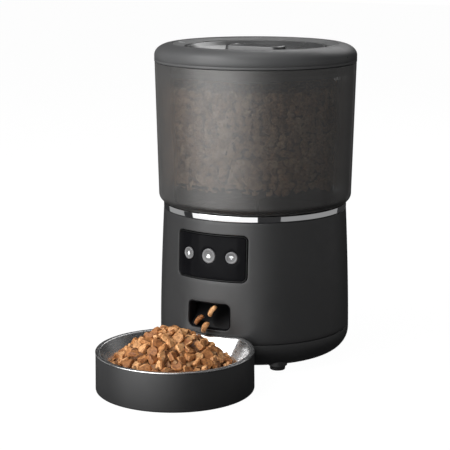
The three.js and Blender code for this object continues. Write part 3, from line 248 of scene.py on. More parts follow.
def lit_icon(name):
    material, tree, shader = blank_material(name)
    place = object_place(tree)
    glow = ramp(tree, noise(tree, place, 500, 2), [(0.3, (0.82, 0.84, 0.86)), (0.7, (0.95, 0.95, 0.95))])
    tree.links.new(glow, shader.inputs["Base Color"])
    tree.links.new(glow, shader.inputs["Emission Color"])
    shader.inputs["Emission Strength"].default_value = 0.55
    shader.inputs["Roughness"].default_value = 0.4
    return material


BROWN_BISCUIT = ((0.3, 0.115, 0.036), (0.52, 0.228, 0.074), (0.85, 0.48, 0.22))
# Painted light: a paler palette than the kibble really has, for the pieces seen through the smoked tank,
# making up for the light the wall takes away.
PALE_BISCUIT = ((0.52, 0.31, 0.17), (0.76, 0.49, 0.29), (0.95, 0.71, 0.47))


def baked_kibble(name, dim=1.0, shades=BROWN_BISCUIT):
    """Baked biscuit: each piece its own shade, darker in its pits, with a dry crumb."""
    material, tree, shader = blank_material(name)
    links = tree.links
    place = object_place(tree)
    island = tree.nodes.new("ShaderNodeNewGeometry").outputs["Random Per Island"]
    light = ramp(tree, island, [(0.5 * k, scaled(shade, dim)) for k, shade in enumerate(shades)])
    crumb = noise(tree, place, 420, 4, 0.65)
    pits = ramp(tree, crumb, [(0.34, (0.5, 0.4, 0.32)), (0.56, (1.15, 1.15, 1.15))])
    blend = tree.nodes.new("ShaderNodeMix")
    blend.data_type = "RGBA"
    blend.blend_type = "MULTIPLY"
    blend.inputs["Factor"].default_value = 1.0
    links.new(light, blend.inputs["A"])
    links.new(pits, blend.inputs["B"])
    links.new(blend.outputs["Result"], shader.inputs["Base Color"])
    links.new(spread(tree, crumb, 0.5, 0.7), shader.inputs["Roughness"])
    coarse = bump(tree, noise(tree, place, 260, 2), 0.5, 0.6 * MM)
    links.new(bump(tree, noise(tree, place, 1300, 3), 0.4, 0.2 * MM, coarse), shader.inputs["Normal"])
    return material


def circuit_board(name):
    material, tree, shader = blank_material(name)
    place = object_place(tree)
    tracks = node_with(tree, "ShaderNodeTexBrick", {
        "Scale": 60,
        "Mortar Size": 0.03,
        "Color1": (0.01, 0.09, 0.035, 1),
        "Color2": (0.012, 0.11, 0.042, 1),
        "Mortar": (0.03, 0.19, 0.08, 1),
        "Vector": place,
    })
    tree.links.new(tracks.outputs["Color"], shader.inputs["Base Color"])
    shader.inputs["Roughness"].default_value = 0.3
    return material


def plated_steel(name):
    material, tree, shader = blank_material(name)
    place = object_place(tree)
    shader.inputs["Metallic"].default_value = 1.0
    crystals = noise(tree, place, 260, 3)
    tree.links.new(ramp(tree, crystals, [(0.3, (0.45, 0.46, 0.48)), (0.7, (0.6, 0.6, 0.6))]),
                   shader.inputs["Base Color"])
    tree.links.new(spread(tree, crystals, 0.25, 0.42), shader.inputs["Roughness"])
    return material


def matt_rubber(name):
    material, tree, shader = blank_material(name)
    place = object_place(tree)
    dust = noise(tree, place, 120, 4)
    tree.links.new(ramp(tree, dust, [(0.3, (0.016, 0.016, 0.017)), (0.75, (0.032, 0.032, 0.033))]),
                   shader.inputs["Base Color"])
    tree.links.new(spread(tree, dust, 0.7, 0.9), shader.inputs["Roughness"])
    tree.links.new(bump(tree, noise(tree, place, 2200, 2), 0.2, 0.05 * MM), shader.inputs["Normal"])
    return material


TRAY_PLASTIC = moulded_plastic("charcoal tray plastic", (0.018, 0.0182, 0.0188), 0.5, 0.3, specular=0.6)
CHARCOAL = moulded_plastic("charcoal shell plastic", (0.019, 0.0192, 0.0198), 0.48, 0.3, specular=0.85)
LID_PLASTIC = moulded_plastic("satin lid plastic", (0.078, 0.0785, 0.0795), 0.44, 0.12, 1200, specular=0.5)
PAN_PLASTIC = moulded_plastic("polished pan plastic", (0.066, 0.0665, 0.0675), 0.24, 0.03, 1200, specular=0.7)
SMOKE = smoked_plastic("smoked tank plastic")
CHROME = mirror_chrome("mirror chrome plating")
BOWL_STEEL = spun_steel("spun bowl steel", (0, BOWL_Y, 0), 0.25)
PANEL_BLACK = gloss_black("piano black panel")
LIP_BLACK = gloss_black("polished black lip", 0.2, 0.08)
BEZEL_GREY = moulded_plastic("bezel plastic", (0.01, 0.0102, 0.0105), 0.3, 0.1, specular=0.15)
CAP_GREY = moulded_plastic("button cap plastic", (0.13, 0.131, 0.133), 0.35, 0.1)
RIM_GREY = moulded_plastic("button rim plastic", (0.19, 0.19, 0.195), 0.3, 0.1)
ICON_WHITE = lit_icon("lit white icon")
MARK_GREY = moulded_plastic("raised mark plastic", (0.42, 0.42, 0.425), 0.3, 0.05)
KIBBLE = baked_kibble("baked kibble")
# Painted shade: a darker copy of the kibble for the layers under the top one, so the gaps between pieces look
# shaded.
SHADED_KIBBLE = baked_kibble("shaded baked kibble", 0.45)
# Painted light: the pale palette for the kibble against the tank wall.
PALE_KIBBLE = baked_kibble("pale baked kibble", 1.0, PALE_BISCUIT)
# Painted shade: dimmed heaps under the kibble, so the gaps between pieces look shaded; the pale one is the
# pale palette dimmed.
SHADOW_FILL = baked_kibble("kibble underneath", 0.2)
PALE_SHADOW_FILL = baked_kibble("pale kibble underneath", 0.5, PALE_BISCUIT)
# Black plastic, made darker than the plastic is so the inside of the food mouth reads as shade: partly real
# colour, partly painted shade.
BLACK_PLASTIC_AND_SHADE = moulded_plastic("black plastic and painted shade", (0.004, 0.004, 0.0045), 0.5, 0.2, specular=0.15)
RUBBER = matt_rubber("matt rubber")
PLATED = plated_steel("plated steel")
ACETAL = moulded_plastic("natural acetal", (0.72, 0.71, 0.66), 0.4, 0.1, 1200, 0.03)
BOARD = circuit_board("circuit board")

SLOT_MATERIALS = {
    "charcoal_plastic": CHARCOAL,
    "lid_plastic": LID_PLASTIC,
    "smoked_tank": SMOKE,
    "chrome_trim": CHROME,
    "bowl_steel": BOWL_STEEL,
    "panel_gloss": PANEL_BLACK,
    "bezel_plastic": BEZEL_GREY,
    "button_cap": CAP_GREY,
    "black_plastic": BLACK_PLASTIC_AND_SHADE,
    "rubber_parts": RUBBER,
    "zinc_steel": PLATED,
    "white_plastic": ACETAL,
    "circuit_board": BOARD,
}


def dress_cad_nodes():
    """Gives every CAD node the material of its slot. The ones that finer pieces replace stay hidden."""
    for row in frame["record"]["subparts"]:
        node = frame["nodes"][row["node"]]
        node.data.materials.clear()
        node.data.materials.append(SLOT_MATERIALS[row["material_slot"]])


# ---------------------------------------------------------------- Outlines


def arc(x, y, radius, start, end, steps, radius_y=None):
    """Points of an arc in degrees, both ends included."""
    tall = radius if radius_y is None else radius_y
    points = []
    for i in range(steps + 1):
        angle = math.radians(start + (end - start) * i / steps)
        points.append((x + radius * math.cos(angle), y + tall * math.sin(angle)))
    return points


def rounded_path(corners, closed=True, step=10):
    """A polyline through (x, y, radius) corners, each rounded by its radius."""
    points = []
    count = len(corners)
    for i, (x, y, radius) in enumerate(corners):
        ends = not closed and i in (0, count - 1)
        if radius == 0 or ends:
            points.append((x, y))
            continue
        here = Vector((x, y))
        before = (Vector(corners[i - 1][:2]) - here).normalized()
        after = (Vector(corners[(i + 1) % count][:2]) - here).normalized()
        half = before.angle(after) / 2
        reach = radius / math.tan(half)
        centre = here + (before + after).normalized() * (radius / math.sin(half))
        start = here + before * reach - centre
        end = here + after * reach - centre
        sweep = start.angle_signed(end)
        steps = max(2, round(math.degrees(abs(sweep)) / step))
        for k in range(steps + 1):
            turned = start.copy()
            turned.rotate(Matrix.Rotation(-sweep * k / steps, 2))
            points.append(tuple(centre + turned))
    return points


def subdivided(loop, longest):
    """The same closed loop with no edge longer than a given length."""
    points = []
    for start, end in zip(loop, loop[1:] + loop[:1]):
        start, end = Vector(start), Vector(end)
        pieces = max(1, math.ceil((end - start).length / longest))
        points += [tuple(start.lerp(end, k / pieces)) for k in range(pieces)]
    return points


def rounded_edge(radius, angles=(0, 30, 60, 90)):
    """Steps across a rounded edge, as (distance in from the side, distance down from the face)."""
    steps = []
    for angle in angles:
        turn = math.radians(angle)
        steps.append((radius * (1 - math.sin(turn)), radius * (1 - math.cos(turn))))
    return steps


def rounded_rectangle(width, height, radius, x=0.0, y=0.0, steps=8):
    dx, dy = width / 2 - radius, height / 2 - radius
    loop = arc(x + dx, y - dy, radius, -90, 0, steps)
    loop += arc(x + dx, y + dy, radius, 0, 90, steps)
    loop += arc(x - dx, y + dy, radius, 90, 180, steps)
    loop += arc(x - dx, y - dy, radius, 180, 270, steps)
    return loop


def circle(radius, x=0.0, y=0.0, steps=48):
    return arc(x, y, radius, 0, 360, steps)[:-1]


def offset_loop(loop, distance):
    """Moves a counter-clockwise loop outwards by a distance."""
    moved = []
    for before, here, after in zip(loop[-1:] + loop[:-1], loop, loop[1:] + loop[:1]):
        along = (Vector(after) - Vector(before)).normalized()
        moved.append((here[0] + along.y * distance, here[1] - along.x * distance))
    return moved


def inside(point, loop):
    """True if a point lies inside a closed loop."""
    x, y = point
    odd = False
    for (x0, y0), (x1, y1) in zip(loop, loop[1:] + loop[:1]):
        if (y0 > y) != (y1 > y) and x < (x1 - x0) * (y - y0) / (y1 - y0) + x0:
            odd = not odd
    return odd


# ---------------------------------------------------------------- Meshes


def piece(name, mesh, material, body, replaces=(), sharp=35):
    """Finishes a mesh as a piece of the object."""
    mesh.name = name
    mesh.materials.clear()
    mesh.materials.append(material)
    mesh.shade_smooth()
    mesh.set_sharp_from_angle(angle=math.radians(sharp))
    thing = bpy.data.objects.new(name, mesh)
    bpy.context.scene.collection.objects.link(thing)
    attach(thing, body)
    if replaces:
        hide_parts(*replaces)
    return thing


def mesh_from(verts, faces, name="mesh"):
    mesh = bpy.data.meshes.new(name)
    mesh.from_pydata([tuple(v) for v in verts], [], faces)
    mesh.validate()
    return mesh


def cleaned(build, merge=1e-6):
    """Turns a bmesh into a mesh with its doubles merged and its faces turned outwards."""
    bmesh.ops.remove_doubles(build, verts=build.verts, dist=merge)
    bmesh.ops.dissolve_degenerate(build, edges=build.edges, dist=1e-7)
    bmesh.ops.recalc_face_normals(build, faces=build.faces)
    mesh = bpy.data.meshes.new("mesh")
    build.to_mesh(mesh)
    build.free()
    return mesh


def bridge(build, rings, flip=False):
    """Faces between each ring of points and the next."""
    for near, far in zip(rings, rings[1:]):
        count = len(near)
        for k in range(count):
            n = (k + 1) % count
            if flip:
                build.faces.new((near[k], far[k], far[n], near[n]))
            else:
                build.faces.new((near[k], near[n], far[n], far[k]))


def lathe(outline, segments=180, centre=(0.0, None)):
    """Turns a closed (radius, z) outline about the feeder's axis, or about another vertical axis."""
    cx = centre[0]
    cy = AXIS_Y if centre[1] is None else centre[1]
    build = bmesh.new()
    rings = []
    for i in range(segments):
        angle = 2 * math.pi * i / segments
        east, south = math.sin(angle), math.cos(angle)
        rings.append([build.verts.new((cx + r * east, cy - r * south, z)) for r, z in outline])
    count = len(outline)
    for near, far in zip(rings, rings[1:] + rings[:1]):
        for k in range(count):
            n = (k + 1) % count
            if outline[k][0] == 0 and outline[n][0] == 0:
                continue
            build.faces.new((near[k], near[n], far[n], far[k]))
    return cleaned(build)


def loft(rings, close_ends=True):
    """A skin over rings of equal length, capped at both ends unless the last ring meets the first."""
    build = bmesh.new()
    made = [[build.verts.new(point) for point in ring] for ring in rings]
    bridge(build, made if close_ends else [*made, made[0]])
    if close_ends:
        build.faces.new(made[0])
        build.faces.new(made[-1])
    return cleaned(build)


def on_shell(x, z, proud=0.0):
    """The point of the shell's front straight in from (x, z), moved out by a distance."""
    radius = shell_radius(z) + proud
    turn = math.asin(max(-1, min(1, x / shell_radius(z))))
    return about_axis(radius, turn, z)


def joined(*meshes):
    """One mesh of several, which are used up."""
    build = bmesh.new()
    for mesh in meshes:
        build.from_mesh(mesh)
        bpy.data.meshes.remove(mesh)
    result = bpy.data.meshes.new("mesh")
    build.to_mesh(result)
    build.free()
    return result


def carved(mesh, tools, operation="DIFFERENCE"):
    """A mesh with other meshes cut out of it or added to it."""
    body = bpy.data.objects.new("body", mesh)
    bpy.context.scene.collection.objects.link(body)
    helpers = []
    for tool in tools:
        helper = bpy.data.objects.new("tool", tool)
        bpy.context.scene.collection.objects.link(helper)
        helpers.append(helper)
        modifier = body.modifiers.new("cut", "BOOLEAN")
        modifier.operation = operation
        modifier.solver = "EXACT"
        modifier.object = helper
    graph = bpy.context.evaluated_depsgraph_get()
    result = bpy.data.meshes.new_from_object(body.evaluated_get(graph))
    for thing in [body, *helpers]:
        data = thing.data
        bpy.data.objects.remove(thing)
        bpy.data.meshes.remove(data)
    return result


def upright_prism(outline, low, high):
    """A closed [x, y] outline raised between two heights."""
    return loft([[(x, y, low) for x, y in outline], [(x, y, high) for x, y in outline]])


def curved_plate(outline, holes, spacing, thickness, proud, edge):
    """A plate on the shell's front with rounded edges and holes. Outlines are (x, z) loops."""

    def edge_rings(loop, outward):
        rings = [(offset_loop(loop, -outward * inset), proud - depth) for inset, depth in rounded_edge(edge)]
        return [*rings, (loop, proud - thickness)]

    build = bmesh.new()
    outer = edge_rings(outline, 1)
    inner = [edge_rings(hole, -1) for hole in holes]
    loops = [outer[0][0]] + [rings[0][0] for rings in inner]
    low = Vector((min(x for x, _ in outline), min(z for _, z in outline)))
    high = Vector((max(x for x, _ in outline), max(z for _, z in outline)))
    points, edges = [], []
    for loop in loops:
        first = len(points)
        points += [Vector(p) for p in loop]
        edges += [(first + i, first + (i + 1) % len(loop)) for i in range(len(loop))]
    margin = spacing * 0.45
    shrunk = offset_loop(loops[0], -margin)
    grown = [offset_loop(loop, margin) for loop in loops[1:]]
    for i in range(1, int((high.x - low.x) / spacing) + 1):
        for k in range(1, int((high.y - low.y) / spacing) + 1):
            spot = (low.x + i * spacing, low.y + k * spacing)
            if inside(spot, shrunk) and not any(inside(spot, loop) for loop in grown):
                points.append(Vector(spot))
    flat = geometry.delaunay_2d_cdt(points, edges, [], 0, 1e-9)
    spots, triangles = flat[0], flat[2]

    def kept(triangle):
        middle = sum((spots[i] for i in triangle), Vector((0, 0))) / len(triangle)
        return inside(middle, loops[0]) and not any(inside(middle, loop) for loop in loops[1:])

    triangles = [t for t in triangles if kept(t)]
    for level in (proud, proud - thickness):
        verts = [build.verts.new(on_shell(x, z, level)) for x, z in spots]
        for triangle in triangles:
            build.faces.new([verts[i] for i in triangle])
    for rings in [outer, *inner]:
        made = [[build.verts.new(on_shell(x, z, level)) for x, z in loop] for loop, level in rings]
        last = [build.verts.new(on_shell(x, z, proud - thickness)) for x, z in rings[0][0]]
        bridge(build, [*made, last])
    bmesh.ops.delete(build, geom=[v for v in build.verts if not v.link_faces], context="VERTS")
    return cleaned(build)


def shell_sweep(outline, section):
    """A closed band along an (x, z) outline on the shell, with a section of (outward, proud) points."""
    rings = [[on_shell(x, z, proud) for x, z in offset_loop(outline, out)] for out, proud in section]
    return loft(rings, close_ends=False)


# ---------------------------------------------------------------- Body shell


SPEAKER_Z = SEAM_Z + 66.5 * MM
JACK_Z = SEAM_Z + 13.5 * MM
PANEL_CORNER = 3.5 * MM
PANEL_MARGIN = 2.1 * MM  # from the window's edge to the shell's opening
SHELL_EDGE = 0.7 * MM


def panel_outline(growth=0.0):
    width, height = PANEL_WIDTH + 2 * growth, PANEL_HEIGHT + 2 * growth
    return subdivided(rounded_rectangle(width, height, PANEL_CORNER + growth, 0, PANEL_Z), 2.5 * MM)


def mouth_outline(growth=0.0):
    width, height = MOUTH_WIDTH + 2 * growth, MOUTH_HEIGHT + 2 * growth
    return subdivided(rounded_rectangle(width, height, MOUTH_CORNER + growth, 0, MOUTH_Z), 2 * MM)


def body_shell():
    """The tapering wall, unrolled to (arc length, height), pierced, and rolled up again."""
    columns, row_height = 180, 3 * MM
    turn_length = 2 * math.pi * BASE_RADIUS
    edge = SHELL_EDGE
    bottom, top = SEAM_Z + edge, SHELL_TOP - edge

    def unrolled(loop, back=False):
        spots = []
        for x, z in loop:
            turn = math.asin(x / shell_radius(z))
            spots.append(((math.pi - turn if back else turn) * BASE_RADIUS, z))
        return spots if not back else spots[::-1]

    def rolled(u, z, depth=0.0):
        return about_axis(shell_radius(z) - depth, u / BASE_RADIUS, z)

    holes = [unrolled(panel_outline(PANEL_MARGIN)), unrolled(mouth_outline())]
    for step in range(-2, 3):
        x = step * 6 * MM
        height = 2 * math.sqrt((15 * MM) ** 2 - x**2)
        slot = subdivided(rounded_rectangle(2.4 * MM, height, 1.1 * MM, x, SPEAKER_Z, 4), 2 * MM)
        holes.append(unrolled(slot, back=True))
    holes.append(unrolled(circle(5.8 * MM, 0, JACK_Z, 36), back=True))
    fillets = [0.6 * MM, 0.6 * MM] + [0.3 * MM] * 6

    start = -0.5 * math.pi * BASE_RADIUS  # the seam of the unrolled sheet lies on the left side
    column = turn_length / columns
    rows = round((top - bottom) / row_height)
    levels = [bottom + (top - bottom) * k / rows for k in range(rows + 1)]
    points, edges, rims = [], [], []
    for hole, fillet in zip(holes, fillets):
        rim = offset_loop(hole, fillet)
        rims.append(rim)
        first = len(points)
        points += [Vector(p) for p in rim]
        edges += [(first + i, first + (i + 1) % len(rim)) for i in range(len(rim))]
    grown = [offset_loop(rim, 1.0 * MM) for rim in rims]
    grid = {}
    for i in range(columns + 1):
        for k, z in enumerate(levels):
            spot = (start + i * column, z)
            if any(inside(spot, loop) for loop in grown):
                continue
            grid[i, k] = len(points)
            points.append(Vector(spot))
    for i in range(columns):
        edges += [(grid[i, 0], grid[i + 1, 0]), (grid[i, rows], grid[i + 1, rows])]
    for k in range(rows):
        edges += [(grid[0, k], grid[0, k + 1]), (grid[columns, k], grid[columns, k + 1])]
    flat = geometry.delaunay_2d_cdt(points, edges, [], 0, 1e-9)
    spots, triangles = flat[0], flat[2]
    kept = []
    for triangle in triangles:
        middle = sum((spots[i] for i in triangle), Vector((0, 0))) / len(triangle)
        if not any(inside(middle, rim) for rim in rims):
            kept.append(triangle)
    build = bmesh.new()
    for depth in (0.0, WALL):
        verts = [build.verts.new(rolled(u, z, depth)) for u, z in spots]
        for triangle in kept:
            build.faces.new([verts[i] for i in triangle])
    for hole, rim, fillet in zip(holes, rims, fillets):
        rings = []
        for out, depth in rounded_edge(fillet, (0, 22, 45, 67, 90)):
            rings.append([rolled(u, z, depth) for u, z in offset_loop(hole, out)])
        rings.append([rolled(u, z, WALL) for u, z in hole])
        rings.append([rolled(u, z, WALL) for u, z in rim])
        bridge(build, [[build.verts.new(point) for point in ring] for ring in rings])
    for z, side in ((bottom, -1), (top, 1)):
        rings = [(z + side * (edge - inset), depth) for inset, depth in rounded_edge(edge)]
        rings += [(z + side * edge, WALL - edge / 2), (z, WALL)]
        made = []
        for height, depth in rings:
            ring = []
            for i in range(columns):
                turn = start / BASE_RADIUS + 2 * math.pi * i / columns
                ring.append(build.verts.new(about_axis(shell_radius(z) - depth, turn, height)))
            made.append(ring)
        bridge(build, made)
    bmesh.ops.delete(build, geom=[v for v in build.verts if not v.link_faces], context="VERTS")
    mesh = cleaned(build, 2e-6)
    piece("feeder_shell", mesh, CHARCOAL, "base", ["body_shell"], 40)


# ---------------------------------------------------------------- Base cover, feet, ring, deck


FOOT_PLACES = [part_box(f"foot_{i}") for i in range(1, 5)]


def middle_of(box):
    return (box[0] + box[1]) / 2


def base_cover():
    low = COVER_BOX[0].z
    corner = 20 * MM
    top = SEAM_Z - GAP
    edge = 0.6 * MM
    lip = BASE_RADIUS - WALL - GAP
    outline = [(0, low)]
    outline += arc(BASE_RADIUS - corner, low + corner, corner, -90, 0, 18)
    outline += arc(BASE_RADIUS - edge, top - edge, edge, 0, 90, 4)
    outline += [(lip, top), (lip, COVER_BOX[1].z)]
    outline += [(lip - 1.5 * MM, COVER_BOX[1].z), (lip - 1.5 * MM, low + corner)]
    outline += arc(BASE_RADIUS - corner, low + corner, corner - WALL, 0, -90, 12)
    outline += [(0, low + WALL)]
    door_low, door_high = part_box("battery_door")
    room = 0.6 * MM
    door = rounded_rectangle(
        door_high.x - door_low.x + 2 * room,
        door_high.y - door_low.y + 2 * room,
        2 * MM,
        0,
        (door_low.y + door_high.y) / 2,
        5,
    )
    tongue_low, tongue_high = -20.6 * MM, 20.6 * MM
    slot = [(tongue_low, 0.0), (tongue_high, 0.0), (tongue_high, -0.1), (tongue_low, -0.1)]
    slot = [(x, y + AXIS_Y) for x, y in slot]
    sockets = []
    seats = []
    for box in FOOT_PLACES:
        spot = middle_of(box)
        foot_radius = (box[1].x - box[0].x) / 2
        ring = [
            (0, low + 1 * MM),
            (0, low + 0.05 * MM),
            (foot_radius + 1.2 * MM, low + 0.05 * MM),
            (foot_radius + 1.8 * MM, low + 0.6 * MM),
            (foot_radius + 1.8 * MM, low + 6 * MM),
            (0, low + 6 * MM),
        ]
        sockets.append(lathe(ring, 64, (spot.x, spot.y)))
        seat = [(0, 0), (foot_radius + GAP, 0), (foot_radius + GAP, low + 1.5 * MM), (0, low + 1.5 * MM)]
        seats.append(lathe(seat, 64, (spot.x, spot.y)))
    solid = carved(lathe(outline, 180), sockets, "UNION")
    cuts = [*seats, upright_prism(door, 0, low + 2 * WALL), upright_prism(slot, 9.4 * MM, 14.1 * MM)]
    mesh = carved(solid, cuts)
    piece("feeder_base_cover", mesh, CHARCOAL, "base", ["base_cover"], 32)


def feet():
    for i, box in enumerate(FOOT_PLACES, 1):
        spot = middle_of(box)
        radius = (box[1].x - box[0].x) / 2
        top = box[1].z
        outline = rounded_path(
            [
                (0, 0.7 * MM, 0),
                (radius - 3.2 * MM, 0.7 * MM, 0),
                (radius - 2.6 * MM, 0, 0.3 * MM),
                (radius - 0.2 * MM, 0, 0.8 * MM),
                (radius, top, 0.4 * MM),
                (0, top, 0),
            ],
            closed=False,
        )
        mesh = lathe(outline, 64, (spot.x, spot.y))
        piece(f"rubber_foot_{i}", mesh, RUBBER, "base", [f"foot_{i}"])


def trim_ring():
    low, high = RING_BOX[0].z, RING_BOX[1].z
    inner = NECK_RADIUS - 2.9 * MM
    outline = rounded_path(
        [
            (inner, low, 0.3 * MM),
            (NECK_RADIUS, low, 0.7 * MM),
            (NECK_RADIUS, high, 0.7 * MM),
            (inner, high, 0.3 * MM),
        ]
    )
    piece("chrome_ring", lathe(outline, 256), CHROME, "base", ["trim_ring"])


# ---------------------------------------------------------------- Panel, buttons, mouth


def panel():
    window = panel_outline()
    holes = []
    for node in ("record_button", "feed_button", "wifi_button"):
        x, z, radius, _ = button_place(node)
        holes.append(circle(radius + GAP, x, z))
    mesh = curved_plate(window, holes, 2.6 * MM, WALL, 0.2 * MM, 0.35 * MM)
    piece("panel_glass", mesh, PANEL_BLACK, "base", ["panel_window"])
    section = [(0.35, -0.2), (0.5, 0.05), (0.75, 0.18), (1.15, 0.18), (1.4, 0.0), (1.5, -0.4)]
    section += [(1.5, -3.5), (0.35, -3.5)]
    frame_mesh = shell_sweep(window, [(out * MM, proud * MM) for out, proud in section])
    piece("panel_frame", frame_mesh, BEZEL_GREY, "base", ["panel_bezel"])


def button_place(node):
    """Where a button's cap is, its radius without the hidden flange, and how deep it reaches."""
    low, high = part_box(node)
    flange = 1.2 * MM
    return (low.x + high.x) / 2, (low.z + high.z) / 2, (high.x - low.x) / 2 - flange, high.y - 0.2 * MM


def button_body(x, z, radius, back):
    """A cap whose face follows the shell, with a bevelled rim round a shallow dish."""
    profile = [(0.0, 0.15), (0.6, 0.15), (0.68, 0.2), (0.74, 0.45), (0.84, 0.62), (0.93, 0.5), (1.0, 0.1)]
    build = bmesh.new()
    steps = 64
    middle = build.verts.new(on_shell(x, z, profile[0][1] * MM))
    rings = []
    for share, proud in profile[1:]:
        ring = []
        for i in range(steps):
            angle = 2 * math.pi * i / steps
            u, v = share * radius * math.cos(angle), share * radius * math.sin(angle)
            ring.append(build.verts.new(on_shell(x + u, z + v, proud * MM)))
        rings.append(ring)
    for depth in (1.5 * MM, 0.0):
        ring = []
        for u, v in circle(radius, x, z, steps):
            ring.append(build.verts.new((u, back - depth, v)))
        rings.append(ring)
    for i in range(steps):
        build.faces.new((middle, rings[0][i], rings[0][(i + 1) % steps]))
    bridge(build, rings)
    build.faces.new(rings[-1])
    return cleaned(build)


def icon_sheet(x, z, loops, proud, height):
    """Flat raised marks on a button's face, each a closed loop of (x, z) offsets."""
    meshes = []
    for loop in loops:
        under = [on_shell(x + u, z + v, proud - height) for u, v in loop]
        over = [on_shell(x + u, z + v, proud) for u, v in loop]
        meshes.append(loft([under, over]))
    return joined(*meshes)


def band(radius, width, start, end, x=0.0, y=0.0, steps=14):
    outer = arc(x, y, radius + width / 2, start, end, steps)
    return outer + arc(x, y, radius - width / 2, end, start, steps)


def microphone(size):
    capsule = rounded_rectangle(0.42 * size, 0.84 * size, 0.2 * size, 0, 0.2 * size)
    cradle = band(0.46 * size, 0.13 * size, 185, 355, 0, 0.1 * size)
    stem = rounded_rectangle(0.13 * size, 0.26 * size, 0.04 * size, 0, -0.5 * size, 3)
    foot = rounded_rectangle(0.5 * size, 0.12 * size, 0.05 * size, 0, -0.66 * size, 3)
    return [capsule, cradle, stem, foot]


def food_bowl(size):
    dish = [(-0.62 * size, -0.08 * size), (-0.42 * size, -0.5 * size), (0.42 * size, -0.5 * size),
            (0.62 * size, -0.08 * size)]
    heap = arc(0, 0.02 * size, 0.44 * size, 0, 180, 14)
    return [dish, heap]


def signal_fan(size):
    dot = circle(0.12 * size, 0, -0.42 * size, 20)
    arcs = [band(radius * size, 0.15 * size, 45, 135, 0, -0.42 * size) for radius in (0.38, 0.68, 0.98)]
    return [dot, *arcs]


def buttons():
    icons = {"record_button": microphone, "feed_button": food_bowl, "wifi_button": signal_fan}
    for node, icon in icons.items():
        x, z, radius, back = button_place(node)
        cap = button_body(x, z, radius, back)
        thing = piece(f"{node}_cap", cap, CAP_GREY, node, [node], 60)
        thing.data.materials.append(RIM_GREY)
        for face in thing.data.polygons:
            reach = math.hypot(face.center.x - x, face.center.z - z) / radius
            face.material_index = 1 if reach > 0.7 else 0
        mark = icon_sheet(x, z, icon(0.52 * radius), 0.3 * MM, 0.2 * MM)
        piece(f"{node}_icon", mark, ICON_WHITE, node)


def mouth_liner():
    """The polished lip inside the food mouth."""
    section = [(-0.15, -0.9), (-0.5, -0.45), (-0.95, -0.55), (-1.2, -1.1), (-1.2, -9.0), (-0.15, -9.0)]
    mesh = shell_sweep(mouth_outline(), [(out * MM, proud * MM) for out, proud in section])
    piece("mouth_lip", mesh, LIP_BLACK, "base")


# ---------------------------------------------------------------- Tank


TANK_CORNER = 8 * MM
TANK_FLARE = 3.3 * MM
TANK_FLOOR = tank_low.z + 6.1 * MM


def tank_wall():
    bend = (TANK_RADIUS - TANK_FLARE - TANK_CORNER, TANK_FLOOR + TANK_CORNER)  # the corner's centre
    spigot = 81.5 * MM
    hub = 12.6 * MM
    edge = 0.8 * MM
    outline = [
        (hub, TANK_FLOOR),
        (spigot - WALL, TANK_FLOOR),
        (spigot - WALL, tank_low.z),
        (spigot, tank_low.z),
        (spigot, TANK_FLOOR),
        *arc(*bend, TANK_CORNER, -90, 0, 14),
        *arc(TANK_RADIUS - edge, TANK_TOP - edge, edge, 0, 90, 4),
        *arc(TANK_RADIUS - WALL + edge, TANK_TOP - edge, edge, 90, 180, 4),
        *arc(*bend, TANK_CORNER - WALL, 0, -90, 10, TANK_CORNER - 3 * MM),
        (hub, TANK_FLOOR + 3 * MM),
    ]
    outlet_y = AXIS_Y - 53 * MM
    outlet = rounded_rectangle(44 * MM, 30 * MM, 2 * MM, 0, outlet_y, 4)
    mesh = carved(lathe(outline, 200), [upright_prism(outlet, TANK_FLOOR - 1 * MM, TANK_FLOOR + 4 * MM)])
    piece("tank_wall", mesh, SMOKE, "tank", ["tank"], 32)


# ---------------------------------------------------------------- Lid and knob


SHOULDER_REACH = 17 * MM
SHOULDER_FALL = 11 * MM
SHOULDER_R = LID_RADIUS - SHOULDER_REACH
SHOULDER_Z = LID_TOP - SHOULDER_FALL
DISH_RADIUS = SHOULDER_R - 12.4 * MM
DISH_Z = LID_TOP - 13.5 * MM
LAND_STEP = 0.6 * MM
LAND_DROP = 2.6 * MM


def land_height(reach):
    """The lid's land, which slopes from the shoulder in to the dish."""
    share = (SHOULDER_R - reach) / (SHOULDER_R - DISH_RADIUS)
    return LID_TOP - LAND_STEP - (LAND_DROP - LAND_STEP) * min(max(share, 0), 1)


